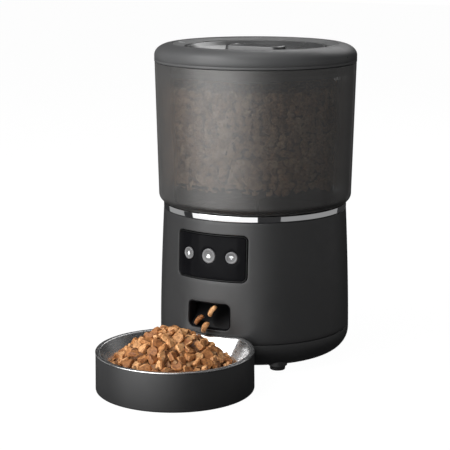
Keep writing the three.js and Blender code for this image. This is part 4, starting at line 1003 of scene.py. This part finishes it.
def lid_shell():
    low = TANK_TOP + GAP
    skirt_low = LID_BOX[0].z
    wall = 2.3 * MM
    skirt = TANK_RADIUS - WALL - 2.3 * MM
    knob_hole = 8.2 * MM
    groove = 2.4 * MM
    edge = 0.5 * MM
    outline = [
        (skirt, low),
        *arc(LID_RADIUS - edge, low + edge, edge, -90, 0, 3),
        (LID_RADIUS, low + groove - 0.25 * MM),
        (LID_RADIUS - 0.22 * MM, low + groove),
        (LID_RADIUS, low + groove + 0.25 * MM),
        *arc(SHOULDER_R, SHOULDER_Z, SHOULDER_REACH, 0, 90, 26, SHOULDER_FALL),
        *rounded_path(
            [
                (SHOULDER_R, LID_TOP, 0),
                (SHOULDER_R - 0.5 * MM, LID_TOP, 0.3 * MM),
                (SHOULDER_R - 0.9 * MM, LID_TOP - LAND_STEP, 0.2 * MM),
                (DISH_RADIUS + 0.5 * MM, LID_TOP - LAND_DROP, 0.5 * MM),
                (DISH_RADIUS, LID_TOP - LAND_DROP - 0.6 * MM, 0.3 * MM),
                (DISH_RADIUS, DISH_Z, 0.5 * MM),
                (knob_hole, DISH_Z, 0),
            ],
            closed=False,
        )[1:],
        (knob_hole, DISH_Z - wall),
        (DISH_RADIUS + wall, DISH_Z - wall),
        (DISH_RADIUS + wall, LID_TOP - wall - LAND_DROP),
        *arc(SHOULDER_R, SHOULDER_Z, SHOULDER_REACH - wall, 90, 0, 14, SHOULDER_FALL - wall),
        (LID_RADIUS - wall, low + WALL),
        (skirt - WALL, low + WALL),
        (skirt - WALL, skirt_low),
        (skirt, skirt_low),
    ]
    mesh = lathe(outline, 240)
    piece("lid_cap", mesh, LID_PLASTIC, "lid", ["lid_shell"], 50)


def lid_mark(name, angle, radius, loops, rise=0.25 * MM):
    """Small raised marks on the lid's sloping land, upright as seen from outside."""
    turn = math.radians(angle)
    out = Vector((math.sin(turn), -math.cos(turn)))
    side = Vector((math.cos(turn), math.sin(turn)))
    meshes = []
    for loop in loops:
        rings = []
        for lift in (-0.3 * MM, rise):
            ring = []
            for u, v in loop:
                spot = out * (radius - v) + side * u
                ring.append((spot.x, AXIS_Y + spot.y, land_height(spot.length) + lift))
            rings.append(ring)
        meshes.append(loft(rings))
    piece(name, joined(*meshes), MARK_GREY, "lid")


def padlock(size, open_turn=0.0):
    body = rounded_rectangle(size, 0.72 * size, 0.12 * size, 0, -0.2 * size, 4)
    aside = 0.1 * size * (open_turn > 0)
    shackle = band(0.3 * size, 0.13 * size, 0 - open_turn, 180 - open_turn, aside, 0.22 * size)
    return [body, shackle]


def lid_details():
    lid_mark("closed_mark", -78, 75.5 * MM, padlock(5.6 * MM))
    lid_mark("open_mark", 104, 75.5 * MM, padlock(5.6 * MM, 40))
    lid_mark("pointer_pip", 68, 73.5 * MM, [circle(1.1 * MM, 0, 0, 24)])
    turn = math.radians(90)
    notch = []
    for depth, grow in ((-0.5, 0.0), (0.18, 0.0), (0.28, -0.15)):
        ring = []
        width, height, corner = 1.2 + 2 * grow, 5.6 + 2 * grow, 0.55 + grow
        for u, v in rounded_rectangle(width * MM, height * MM, corner * MM, 0, 0, 5):
            radius = LID_RADIUS - 0.3 * MM + depth * MM
            ring.append(about_axis(radius, turn + u / LID_RADIUS, LID_TOP - 12.2 * MM + v))
        notch.append(ring)
    piece("lid_tick", loft(notch), BLACK_PLASTIC_AND_SHADE, "lid")


def lock_knob():
    pan = DISH_RADIUS - 0.7 * MM
    bottom = DISH_Z + GAP
    floor = bottom + 2.4 * MM
    top = LID_TOP - 3 * MM
    outline = rounded_path(
        [
            (0, DISH_Z - 6 * MM, 0),
            (7.6 * MM, DISH_Z - 6 * MM, 0.4 * MM),
            (7.6 * MM, bottom, 0),
            (pan, bottom, 1 * MM),
            (pan, top, 1.0 * MM),
            (pan - 2.4 * MM, top, 1.6 * MM),
            (pan - 8 * MM, floor + 4.2 * MM, 8 * MM),
            (pan - 16 * MM, floor + 1.3 * MM, 14 * MM),
            (pan - 24 * MM, floor, 18 * MM),
            (0, floor, 0),
        ],
        closed=False,
    )
    piece("knob_pan", lathe(outline, 220), PAN_PLASTIC, "knob", ["lock_knob"], 40)
    crest = LID_TOP - 2.2 * MM
    length, width = 58 * MM, 24 * MM
    rings = []
    root = [(3.2, floor - 0.6 * MM), (2.2, floor + 0.2 * MM)]
    root += [(1.2, floor + 1.0 * MM), (0.5, floor + 2.4 * MM)]
    crown = [(0, crest - 1.8 * MM), (-0.2, crest - 1.0 * MM), (-0.7, crest - 0.35 * MM), (-1.4, crest)]
    for grow, z in root + crown:
        more = 2 * grow * MM
        loop = rounded_rectangle(length + more, width + more, 6 * MM + grow * MM, 0, AXIS_Y, 10)
        rings.append([(x, y, z) for x, y in loop])
    inner = rounded_rectangle(length - 7 * MM, width - 7 * MM, 4.5 * MM, 0, AXIS_Y, 10)
    rings.append([(x, y, crest) for x, y in inner])
    rings.append([(x, y, crest - 0.35 * MM) for x, y in offset_loop(inner, -0.6 * MM)])
    piece("knob_grip", loft(rings), PAN_PLASTIC, "knob", sharp=40)


# ---------------------------------------------------------------- Tray and bowl


def scooped_loop(bowl_radius, scoop_radius, horn_radius, z):
    """A round bowl's outline, scooped out at the back by the base, with rounded horns."""
    to_bowl = bowl_radius - horn_radius
    to_base = scoop_radius + horn_radius
    horn_y = (to_base**2 - to_bowl**2 + BOWL_DISTANCE**2) / (2 * BOWL_DISTANCE)
    horn_x = math.sqrt(to_base**2 - horn_y**2)
    bowl_turn = math.degrees(math.atan2(BOWL_DISTANCE - horn_y, horn_x))
    base_turn = math.degrees(math.atan2(horn_y, horn_x))
    loop = arc(0, -BOWL_DISTANCE, bowl_radius, 180 - bowl_turn, 360 + bowl_turn, 150)
    loop += arc(horn_x, -horn_y, horn_radius, bowl_turn, 180 - base_turn, 12)[1:]
    loop += arc(0, 0, scoop_radius, -base_turn, base_turn - 180, 40)[1:]
    loop += arc(-horn_x, -horn_y, horn_radius, base_turn, 180 - bowl_turn, 12)[1:-1]
    return [(x, y + AXIS_Y, z) for x, y in loop]


def bowl_tray():
    def ring(z, inset):
        horn = max(9 * MM - inset, 2 * MM)
        return scooped_loop(TRAY_RADIUS - inset, DOCK_RADIUS + inset, horn, z)

    top = TRAY_HEIGHT
    wall = 2.4 * MM
    rings = [ring(height, inset) for height, inset in reversed(rounded_edge(1.6 * MM))]
    rings.append(ring(top * 0.5, 0.2 * MM))
    rings += [ring(top - drop, 0.4 * MM + inset) for drop, inset in rounded_edge(0.9 * MM)]
    rings += [
        ring(top, wall),
        ring(top - 0.3 * MM, wall + 0.3 * MM),
        ring(wall + 1 * MM, wall + 0.5 * MM),
        ring(wall, wall + 2 * MM),
    ]
    body = loft(rings)
    reach = DOCK_RADIUS + wall - 0.5 * MM
    tongue_end = TRAY_BOX[1].y
    tongue = rounded_rectangle(40 * MM, tongue_end - (AXIS_Y - reach), 1.5 * MM, 0,
                               (tongue_end + AXIS_Y - reach) / 2, 4)
    low, high = 10 * MM, 13.5 * MM
    rails = loft([
        [(x, y, low) for x, y in offset_loop(tongue, -0.5 * MM)],
        [(x, y, low + 0.5 * MM) for x, y in tongue],
        [(x, y, high - 0.5 * MM) for x, y in tongue],
        [(x, y, high) for x, y in offset_loop(tongue, -0.5 * MM)],
    ])
    piece("tray_body", joined(body, rails), TRAY_PLASTIC, "tray", ["bowl_tray"], 35)


BOWL_FLOOR = 9 * MM
BOWL_REACH = TRAY_RADIUS - GAP
BOWL_SCOOP = DOCK_RADIUS + GAP
BOWL_TOP = BOWL_BOX[1].z
FLOOR_INSET = BOWL_REACH - 46 * MM
RIM_INSET = 3.6 * MM


def steel_bowl():
    sheet = 1.0 * MM

    def ring(z, inset):
        return scooped_loop(BOWL_REACH - inset, BOWL_SCOOP + inset, 9 * MM, z)

    # Inside, from the floor up: the floor's bend, the slope, the rolled rim.
    inside_path = rounded_path(
        [
            (FLOOR_INSET + 8 * MM, BOWL_FLOOR, 0),
            (FLOOR_INSET - 2 * MM, BOWL_FLOOR, 7 * MM),
            (RIM_INSET + 0.6 * MM, BOWL_TOP, 2.2 * MM),
            (RIM_INSET - 2 * MM, BOWL_TOP, 0),
        ],
        closed=False,
        step=6,
    )
    rim = arc(0.9 * MM, BOWL_TOP - 0.7 * MM, 0.7 * MM, 90, 270, 10)
    rim = [(x - 0.35 * MM, z) for x, z in rim]
    outside_path = rounded_path(
        [
            (RIM_INSET - 0.4 * MM, BOWL_TOP - 1.4 * MM, 0),
            (RIM_INSET + 0.6 * MM, BOWL_TOP - 1.4 * MM, 0.8 * MM),
            (FLOOR_INSET - 2 * MM + sheet, BOWL_FLOOR - sheet, 6 * MM),
            (FLOOR_INSET + 8 * MM, BOWL_FLOOR - sheet, 0),
        ],
        closed=False,
        step=8,
    )
    rings = [ring(z, inset) for inset, z in [*inside_path, *rim, *outside_path]]
    piece("bowl_dish", loft(rings), BOWL_STEEL, "bowl", ["steel_bowl"], 60)


# ---------------------------------------------------------------- Kibble


def kibble_mesh(name, lobes, amount, flatness, segments, stretch):
    """One small pillow-shaped biscuit, about 1 across, with a lobed outline."""
    profile = [(0.84, -0.5), (1.0, -0.26), (1.0, 0.26), (0.86, 0.5)]
    build = bmesh.new()
    rings = []
    for share, height in profile:
        ring = []
        for i in range(segments):
            angle = 2 * math.pi * i / segments
            reach = 0.5 * share * (1 + amount * math.cos(lobes * angle))
            lift = flatness * (height + 0.14 * math.cos(2 * angle + lobes))
            ring.append(build.verts.new((stretch * reach * math.cos(angle), reach * math.sin(angle), lift)))
        rings.append(ring)
    low = build.verts.new((0, 0, -0.5 * flatness))
    high = build.verts.new((0, 0, 0.54 * flatness))
    bridge(build, rings)
    for k in range(segments):
        n = (k + 1) % segments
        build.faces.new((low, rings[0][n], rings[0][k]))
        build.faces.new((high, rings[-1][k], rings[-1][n]))
    mesh = cleaned(build)
    mesh.name = name
    return mesh


def kibble_shapes(segments):
    kinds = [(3, 0.2, 0.5, 1.0), (4, 0.1, 0.42, 1.15), (3, 0.26, 0.4, 1.1), (2, 0.2, 0.5, 0.95)]
    shapes = []
    for i, (lobes, amount, flatness, stretch) in enumerate(kinds):
        mesh = kibble_mesh(f"kibble shape {i}", lobes, amount, flatness, segments, stretch)
        shapes.append(bpy.data.objects.new(f"kibble shape {i}", mesh))
    return shapes


KIBBLE_LEAN = 0.85  # how far, in radians, a piece may tip off the skin it lies on


def scatter_tree(shapes, material):
    """The nodes that cover a surface with randomly turned kibble."""
    tree = bpy.data.node_groups.new("kibble scatter", "GeometryNodeTree")
    face = tree.interface
    face.new_socket("Geometry", in_out="INPUT", socket_type="NodeSocketGeometry")
    for name, kind in (("Spacing", "Float"), ("Size", "Float"), ("Seed", "Int")):
        face.new_socket(name, in_out="INPUT", socket_type=f"NodeSocket{kind}")
    face.new_socket("Geometry", in_out="OUTPUT", socket_type="NodeSocketGeometry")
    start = tree.nodes.new("NodeGroupInput").outputs
    points = node_with(tree, "GeometryNodeDistributePointsOnFaces", {"Mesh": start["Geometry"]})
    points.distribute_method = "POISSON"
    points.inputs["Density Max"].default_value = 200000
    tree.links.new(start["Spacing"], points.inputs["Distance Min"])
    tree.links.new(start["Seed"], points.inputs["Seed"])
    kinds = tree.nodes.new("GeometryNodeJoinGeometry")
    for shape in reversed(shapes):
        source = node_with(tree, "GeometryNodeObjectInfo", {"Object": shape, "As Instance": True})
        tree.links.new(source.outputs["Geometry"], kinds.inputs[0])
    turn = tree.nodes.new("FunctionNodeRandomValue")
    turn.data_type = "FLOAT_VECTOR"
    turn.inputs["Min"].default_value = (-KIBBLE_LEAN, -KIBBLE_LEAN, 0)
    turn.inputs["Max"].default_value = (KIBBLE_LEAN, KIBBLE_LEAN, 2 * math.pi)
    tree.links.new(start["Seed"], turn.inputs["Seed"])
    turned = {"Rotation": points.outputs["Rotation"], "Rotate By": turn.outputs[0]}
    lean = node_with(tree, "FunctionNodeRotateRotation", turned)
    lean.rotation_space = "LOCAL"
    grow = node_with(tree, "FunctionNodeRandomValue", {2: 0.84, 3: 1.14, "Seed": start["Seed"]})
    grow.data_type = "FLOAT"
    size = node_with(tree, "ShaderNodeMath", {0: grow.outputs[1], 1: start["Size"]})
    size.operation = "MULTIPLY"
    place = node_with(tree, "GeometryNodeInstanceOnPoints", {
        "Pick Instance": True,
        "Points": points.outputs["Points"],
        "Instance": kinds.outputs[0],
        "Rotation": lean.outputs[0],
        "Scale": size.outputs[0],
    })
    real = node_with(tree, "GeometryNodeRealizeInstances", {0: place.outputs[0]})
    paint = node_with(tree, "GeometryNodeSetMaterial", {0: real.outputs[0], "Material": material})
    node_with(tree, "NodeGroupOutput", {0: paint.outputs[0]})
    return tree


def scattered(surface, tree, spacing, size, seed):
    """The mesh of kibble spread over a surface."""
    host = bpy.data.objects.new("kibble host", surface)
    bpy.context.scene.collection.objects.link(host)
    modifier = host.modifiers.new("kibble", "NODES")
    modifier.node_group = tree
    names = {item.name: item.identifier for item in tree.interface.items_tree if item.in_out == "INPUT"}
    modifier[names["Spacing"]] = spacing
    modifier[names["Size"]] = size
    modifier[names["Seed"]] = seed
    graph = bpy.context.evaluated_depsgraph_get()
    mesh = bpy.data.meshes.new_from_object(host.evaluated_get(graph))
    host.modifiers.clear()
    bpy.data.objects.remove(host)
    bpy.data.meshes.remove(surface)
    return mesh


HEAP_RADIUS = 54 * MM
HEAP_EDGE = 23 * MM
HEAP_PEAK = 55 * MM
HEAP_CENTRE = Vector((-3.5 * MM, BOWL_Y - 1.9 * MM))


def heap_height(reach):
    share = min(reach / HEAP_RADIUS, 1)
    return HEAP_EDGE + (HEAP_PEAK - HEAP_EDGE) * (1 - share**1.7)


def heap_surface(drop, reach, closed=False):
    """A domed disc of radius reach, a distance below the heap's skin."""
    build = bmesh.new()
    steps, rows = 48, 14
    rings = []
    for k in range(1, rows + 1):
        ring = []
        for i in range(steps):
            angle = 2 * math.pi * i / steps
            distance = reach * k / rows
            spot = HEAP_CENTRE + Vector((math.cos(angle), math.sin(angle))) * distance
            ring.append(build.verts.new((spot.x, spot.y, heap_height(distance) - drop)))
        rings.append(ring)
    top = build.verts.new((HEAP_CENTRE.x, HEAP_CENTRE.y, heap_height(0) - drop))
    for i in range(steps):
        build.faces.new((top, rings[0][i], rings[0][(i + 1) % steps]))
    bridge(build, rings, flip=True)
    if closed:
        bottom = []
        for edge in rings[-1]:
            foot = HEAP_CENTRE + (edge.co.xy - HEAP_CENTRE) * 0.7
            bottom.append(build.verts.new((foot.x, foot.y, BOWL_FLOOR + 1 * MM)))
        bridge(build, [rings[-1], bottom], flip=True)
        build.faces.new(bottom)
        return cleaned(build)
    mesh = bpy.data.meshes.new("heap")
    build.to_mesh(mesh)
    build.free()
    return mesh


def bowl_inset(z):
    """How far the bowl's sloping side stands in from its edge at a height."""
    low_inset = FLOOR_INSET - 2 * MM
    high_inset = RIM_INSET + 0.6 * MM
    share = (z - BOWL_FLOOR) / (BOWL_TOP - BOWL_FLOOR)
    return low_inset + (high_inset - low_inset) * min(max(share, 0), 1)


def kept_in_bowl(mesh):
    """Presses the kibble that would poke through the bowl back against its side."""
    clear = 1.3 * MM
    for vertex in mesh.vertices:
        spot = vertex.co
        spot.z = max(spot.z, BOWL_FLOOR + 0.5 * MM)
        inset = bowl_inset(spot.z) + clear
        limits = ((BOWL_Y, BOWL_REACH - inset, False), (AXIS_Y, BOWL_SCOOP + inset, True))
        for middle, limit, outward in limits:
            reach = Vector((spot.x, spot.y - middle))
            if (reach.length < limit) == outward:
                reach *= limit / reach.length
                spot.x, spot.y = reach.x, middle + reach.y
    return mesh


def bowl_kibble():
    shapes = kibble_shapes(10)
    tree = scatter_tree(shapes, KIBBLE)
    top = scattered(heap_surface(1 * MM, HEAP_RADIUS), tree, spacing=8.3 * MM, size=9.8 * MM, seed=4)
    piece("bowl_kibble", kept_in_bowl(top), KIBBLE, "bowl", sharp=26)
    # The layers underneath wear the darker copy, which paints shade into the gaps.
    tree = scatter_tree(shapes, SHADED_KIBBLE)
    layers = [
        scattered(heap_surface(4.5 * MM, HEAP_RADIUS), tree, spacing=7.6 * MM, size=10.2 * MM, seed=9),
        scattered(heap_surface(8.5 * MM, HEAP_RADIUS - 3 * MM), tree, spacing=8 * MM, size=10.6 * MM, seed=2),
    ]
    piece("bowl_kibble_under", kept_in_bowl(joined(*layers)), SHADED_KIBBLE, "bowl", sharp=26)
    # A dark filler heap under the kibble: painted shade in the gaps between pieces.
    piece("bowl_kibble_core", heap_surface(11 * MM, HEAP_RADIUS - 8 * MM, True), SHADOW_FILL, "bowl")
    for shape in shapes:
        bpy.data.objects.remove(shape)


FOOD_TOP = 264 * MM
FOOD_LOW = 174 * MM
FOOD_DIP = 8 * MM  # how far the middle of the food has sunk
FOOD_REACH = 89 * MM  # the food's radius at the tank's floor
CORE_REACH = 86.5 * MM
PALE_PALETTE_REACH = 84 * MM  # only what lies outside this, against the wall, gets the pale palette: painted light for the kibble seen through the smoked wall
FLARE_START = 159 * MM  # from here up the food widens as the tank does


def tank_food_surface(reach, low, top):
    """The skin of the food in the tank: a wall that follows the tank and a dished top."""
    build = bmesh.new()
    steps = 72
    heights = [low + (top - low) * k / 12 for k in range(13)]
    spots = []
    for z in heights:
        flare = TANK_FLARE * (z - FLARE_START) / (TANK_TOP - FLARE_START)
        spots.append((reach + flare, z))
    edge = spots[-1][0]
    spots += [(edge * share, top - FOOD_DIP * (1 - share**2)) for share in (0.85, 0.7, 0.5, 0.3, 0.12)]
    rings = []
    for radius, z in spots:
        ring = []
        for i in range(steps):
            angle = 2 * math.pi * i / steps
            ring.append(build.verts.new(about_axis(radius, angle, z)))
        rings.append(ring)
    bridge(build, rings)
    build.faces.new(rings[-1])
    mesh = bpy.data.meshes.new("food")
    build.to_mesh(mesh)
    build.free()
    return mesh


def tank_inside(z):
    """The tank wall's inner radius at a height."""
    rise = (z - tank_low.z) / (TANK_TOP - tank_low.z)
    into_corner = min(max(TANK_FLOOR + TANK_CORNER - z, 0), TANK_CORNER)
    bend = TANK_CORNER - math.sqrt(TANK_CORNER**2 - into_corner**2)
    return TANK_RADIUS - TANK_FLARE * (1 - rise) - WALL - bend


def tank_kibble():
    shapes = kibble_shapes(7)
    tree = scatter_tree(shapes, PALE_KIBBLE)
    surface = tank_food_surface(FOOD_REACH, FOOD_LOW, FOOD_TOP)
    mesh = scattered(surface, tree, spacing=5.6 * MM, size=8.6 * MM, seed=21)
    for vertex in mesh.vertices:  # what leans on the wall lies flat against it
        reach = Vector((vertex.co.x, vertex.co.y - AXIS_Y))
        room = tank_inside(vertex.co.z) - 0.3 * MM
        if reach.length > room:
            reach *= room / reach.length
            vertex.co.x, vertex.co.y = reach.x, AXIS_Y + reach.y
    thing = piece("tank_kibble", mesh, PALE_KIBBLE, "tank", sharp=50)
    # Pieces against the wall keep the pale palette's painted light; those further in are the plain kibble.
    thing.data.materials.append(KIBBLE)
    for face in thing.data.polygons:
        reach = math.hypot(face.center.x, face.center.y - AXIS_Y)
        face.material_index = 1 if reach < PALE_PALETTE_REACH else 0
    # A dimmed filler behind the tank's kibble: painted shade in the gaps between pieces.
    core = tank_food_surface(CORE_REACH, FOOD_LOW + 2 * MM, FOOD_TOP - 3 * MM)
    build = bmesh.new()
    build.from_mesh(core)
    bpy.data.meshes.remove(core)
    bmesh.ops.holes_fill(build, edges=[e for e in build.edges if e.is_boundary])
    piece("tank_kibble_core", cleaned(build), PALE_SHADOW_FILL, "tank")
    for shape in shapes:
        bpy.data.objects.remove(shape)


def chute_kibble():
    """The last pieces of a portion, tumbling out of the mouth."""
    spots = [
        ((3, -90, 58.5), (35, -50, 10)),
        ((-11, -91, 48.5), (20, -44, -8)),
        ((1, -100, 44.5), (50, -50, 14)),
    ]
    meshes = []
    for (x, y, z), turn in spots:
        mesh = kibble_mesh("loose kibble", 2, 0.1, 0.4, 14, 1.35)
        place = Matrix.Translation((x * MM, AXIS_Y + y * MM, z * MM))
        for angle, axis in zip(turn, "XYZ"):
            place = place @ Matrix.Rotation(math.radians(angle), 4, axis)
        mesh.transform(place @ Matrix.Scale(10 * MM, 4))
        meshes.append(mesh)
    piece("chute_kibble", joined(*meshes), KIBBLE, "base", sharp=80)


# ---------------------------------------------------------------- Stage, light, camera


def stage_floor():
    size = 6.0
    mesh = mesh_from([(-size, -size, 0), (size, -size, 0), (size, size, 0), (-size, size, 0)], [(0, 1, 2, 3)])
    material, tree, shader = blank_material("studio floor")
    shader.inputs["Base Color"].default_value = (0.05, 0.05, 0.05, 1)
    shader.inputs["Roughness"].default_value = 0.9
    shader.inputs["Specular IOR Level"].default_value = 0.0
    shader.inputs["Emission Color"].default_value = (1, 1, 1, 1)
    shader.inputs["Emission Strength"].default_value = 0.98
    mesh.materials.append(material)
    floor = bpy.data.objects.new("studio floor", mesh)
    floor.location.z = -0.2 * MM
    floor.visible_glossy = False
    floor.visible_diffuse = False
    bpy.context.scene.collection.objects.link(floor)


# name: angle from the front, distance, height, width, tall, power, height aimed at
SOFTBOXES = {
    "key softbox": (-11, 1.3, 0.5, 2.4, 2.2, 18, 0.5),
    "bright card": (-17, 1.28, 0.65, 1.25, 1.55, 14, 0.5),
    "far left softbox": (-86, 1.3, 0.35, 0.85, 1.6, 1.3, 0.35),
    "overhead softbox": (-40, 0.85, 1.35, 0.8, 0.45, 7, 0.05),
    "side softbox": (106, 1.3, 0.2, 2.7, 1.1, 2.5, 0.2),
    "back softbox": (184, 1.5, 1.35, 1.5, 0.8, 8.5, 0.3),
    "top softbox": (-95, 0.2, 1.6, 0.8, 0.8, 3.5, 0.2),
}


def studio_lights():
    for name, (angle, distance, height, width, tall, power, aim_z) in SOFTBOXES.items():
        data = bpy.data.lights.new(name, "AREA")
        data.shape = "RECTANGLE"
        data.size = width
        data.size_y = tall
        data.energy = power
        light = bpy.data.objects.new(name, data)
        light.location = about_axis(distance, math.radians(angle), height)
        towards = Vector((0, AXIS_Y, aim_z)) - light.location
        light.rotation_euler = towards.to_track_quat("-Z", "Y").to_euler()
        light.visible_camera = False
        bpy.context.scene.collection.objects.link(light)


def studio_world():
    world = bpy.data.worlds.new("white studio")
    world.use_nodes = True
    tree = world.node_tree
    tree.nodes.clear()
    seen = tree.nodes.new("ShaderNodeLightPath").outputs["Is Camera Ray"]
    dim = node_with(tree, "ShaderNodeBackground", {"Color": (0.035, 0.035, 0.036, 1)})
    white = node_with(tree, "ShaderNodeBackground", {"Color": (1, 1, 1, 1)})
    mix = node_with(tree, "ShaderNodeMixShader", {"Fac": seen, 1: dim.outputs[0], 2: white.outputs[0]})
    node_with(tree, "ShaderNodeOutputWorld", {"Surface": mix.outputs[0]})
    bpy.context.scene.world = world


CAMERA_AZIMUTH = 28.4
CAMERA_ELEVATION = 11.7
CAMERA_DISTANCE = 1.4505
CAMERA_HEIGHT = 0.1249  # the level on the axis that the camera looks at
CAMERA_SIDESTEP = 0.0296  # the feeder's axis stands this far right of the aim


def studio_camera():
    azimuth, elevation = math.radians(CAMERA_AZIMUTH), math.radians(CAMERA_ELEVATION)
    back = Vector((
        math.sin(azimuth) * math.cos(elevation),
        -math.cos(azimuth) * math.cos(elevation),
        math.sin(elevation),
    ))
    right = Vector((math.cos(azimuth), math.sin(azimuth), 0))
    centre = Vector((0, AXIS_Y, CAMERA_HEIGHT))
    data = bpy.data.cameras.new("camera")
    data.lens = 117.0
    data.sensor_width = 36.0
    camera = bpy.data.objects.new("camera", data)
    camera.location = centre + back * CAMERA_DISTANCE
    aim = centre - right * CAMERA_SIDESTEP
    camera.rotation_euler = (aim - camera.location).to_track_quat("-Z", "Y").to_euler()
    bpy.context.scene.collection.objects.link(camera)
    bpy.context.scene.camera = camera


# ---------------------------------------------------------------- Make it all


def build():
    dress_cad_nodes()
    body_shell()
    base_cover()
    feet()
    trim_ring()
    panel()
    buttons()
    mouth_liner()
    tank_wall()
    lid_shell()
    lid_details()
    lock_knob()
    bowl_tray()
    steel_bowl()
    bowl_kibble()
    tank_kibble()
    chute_kibble()
    stage_floor()
    studio_lights()
    studio_world()
    studio_camera()
    bpy.context.scene.view_settings.view_transform = "Standard"


build()
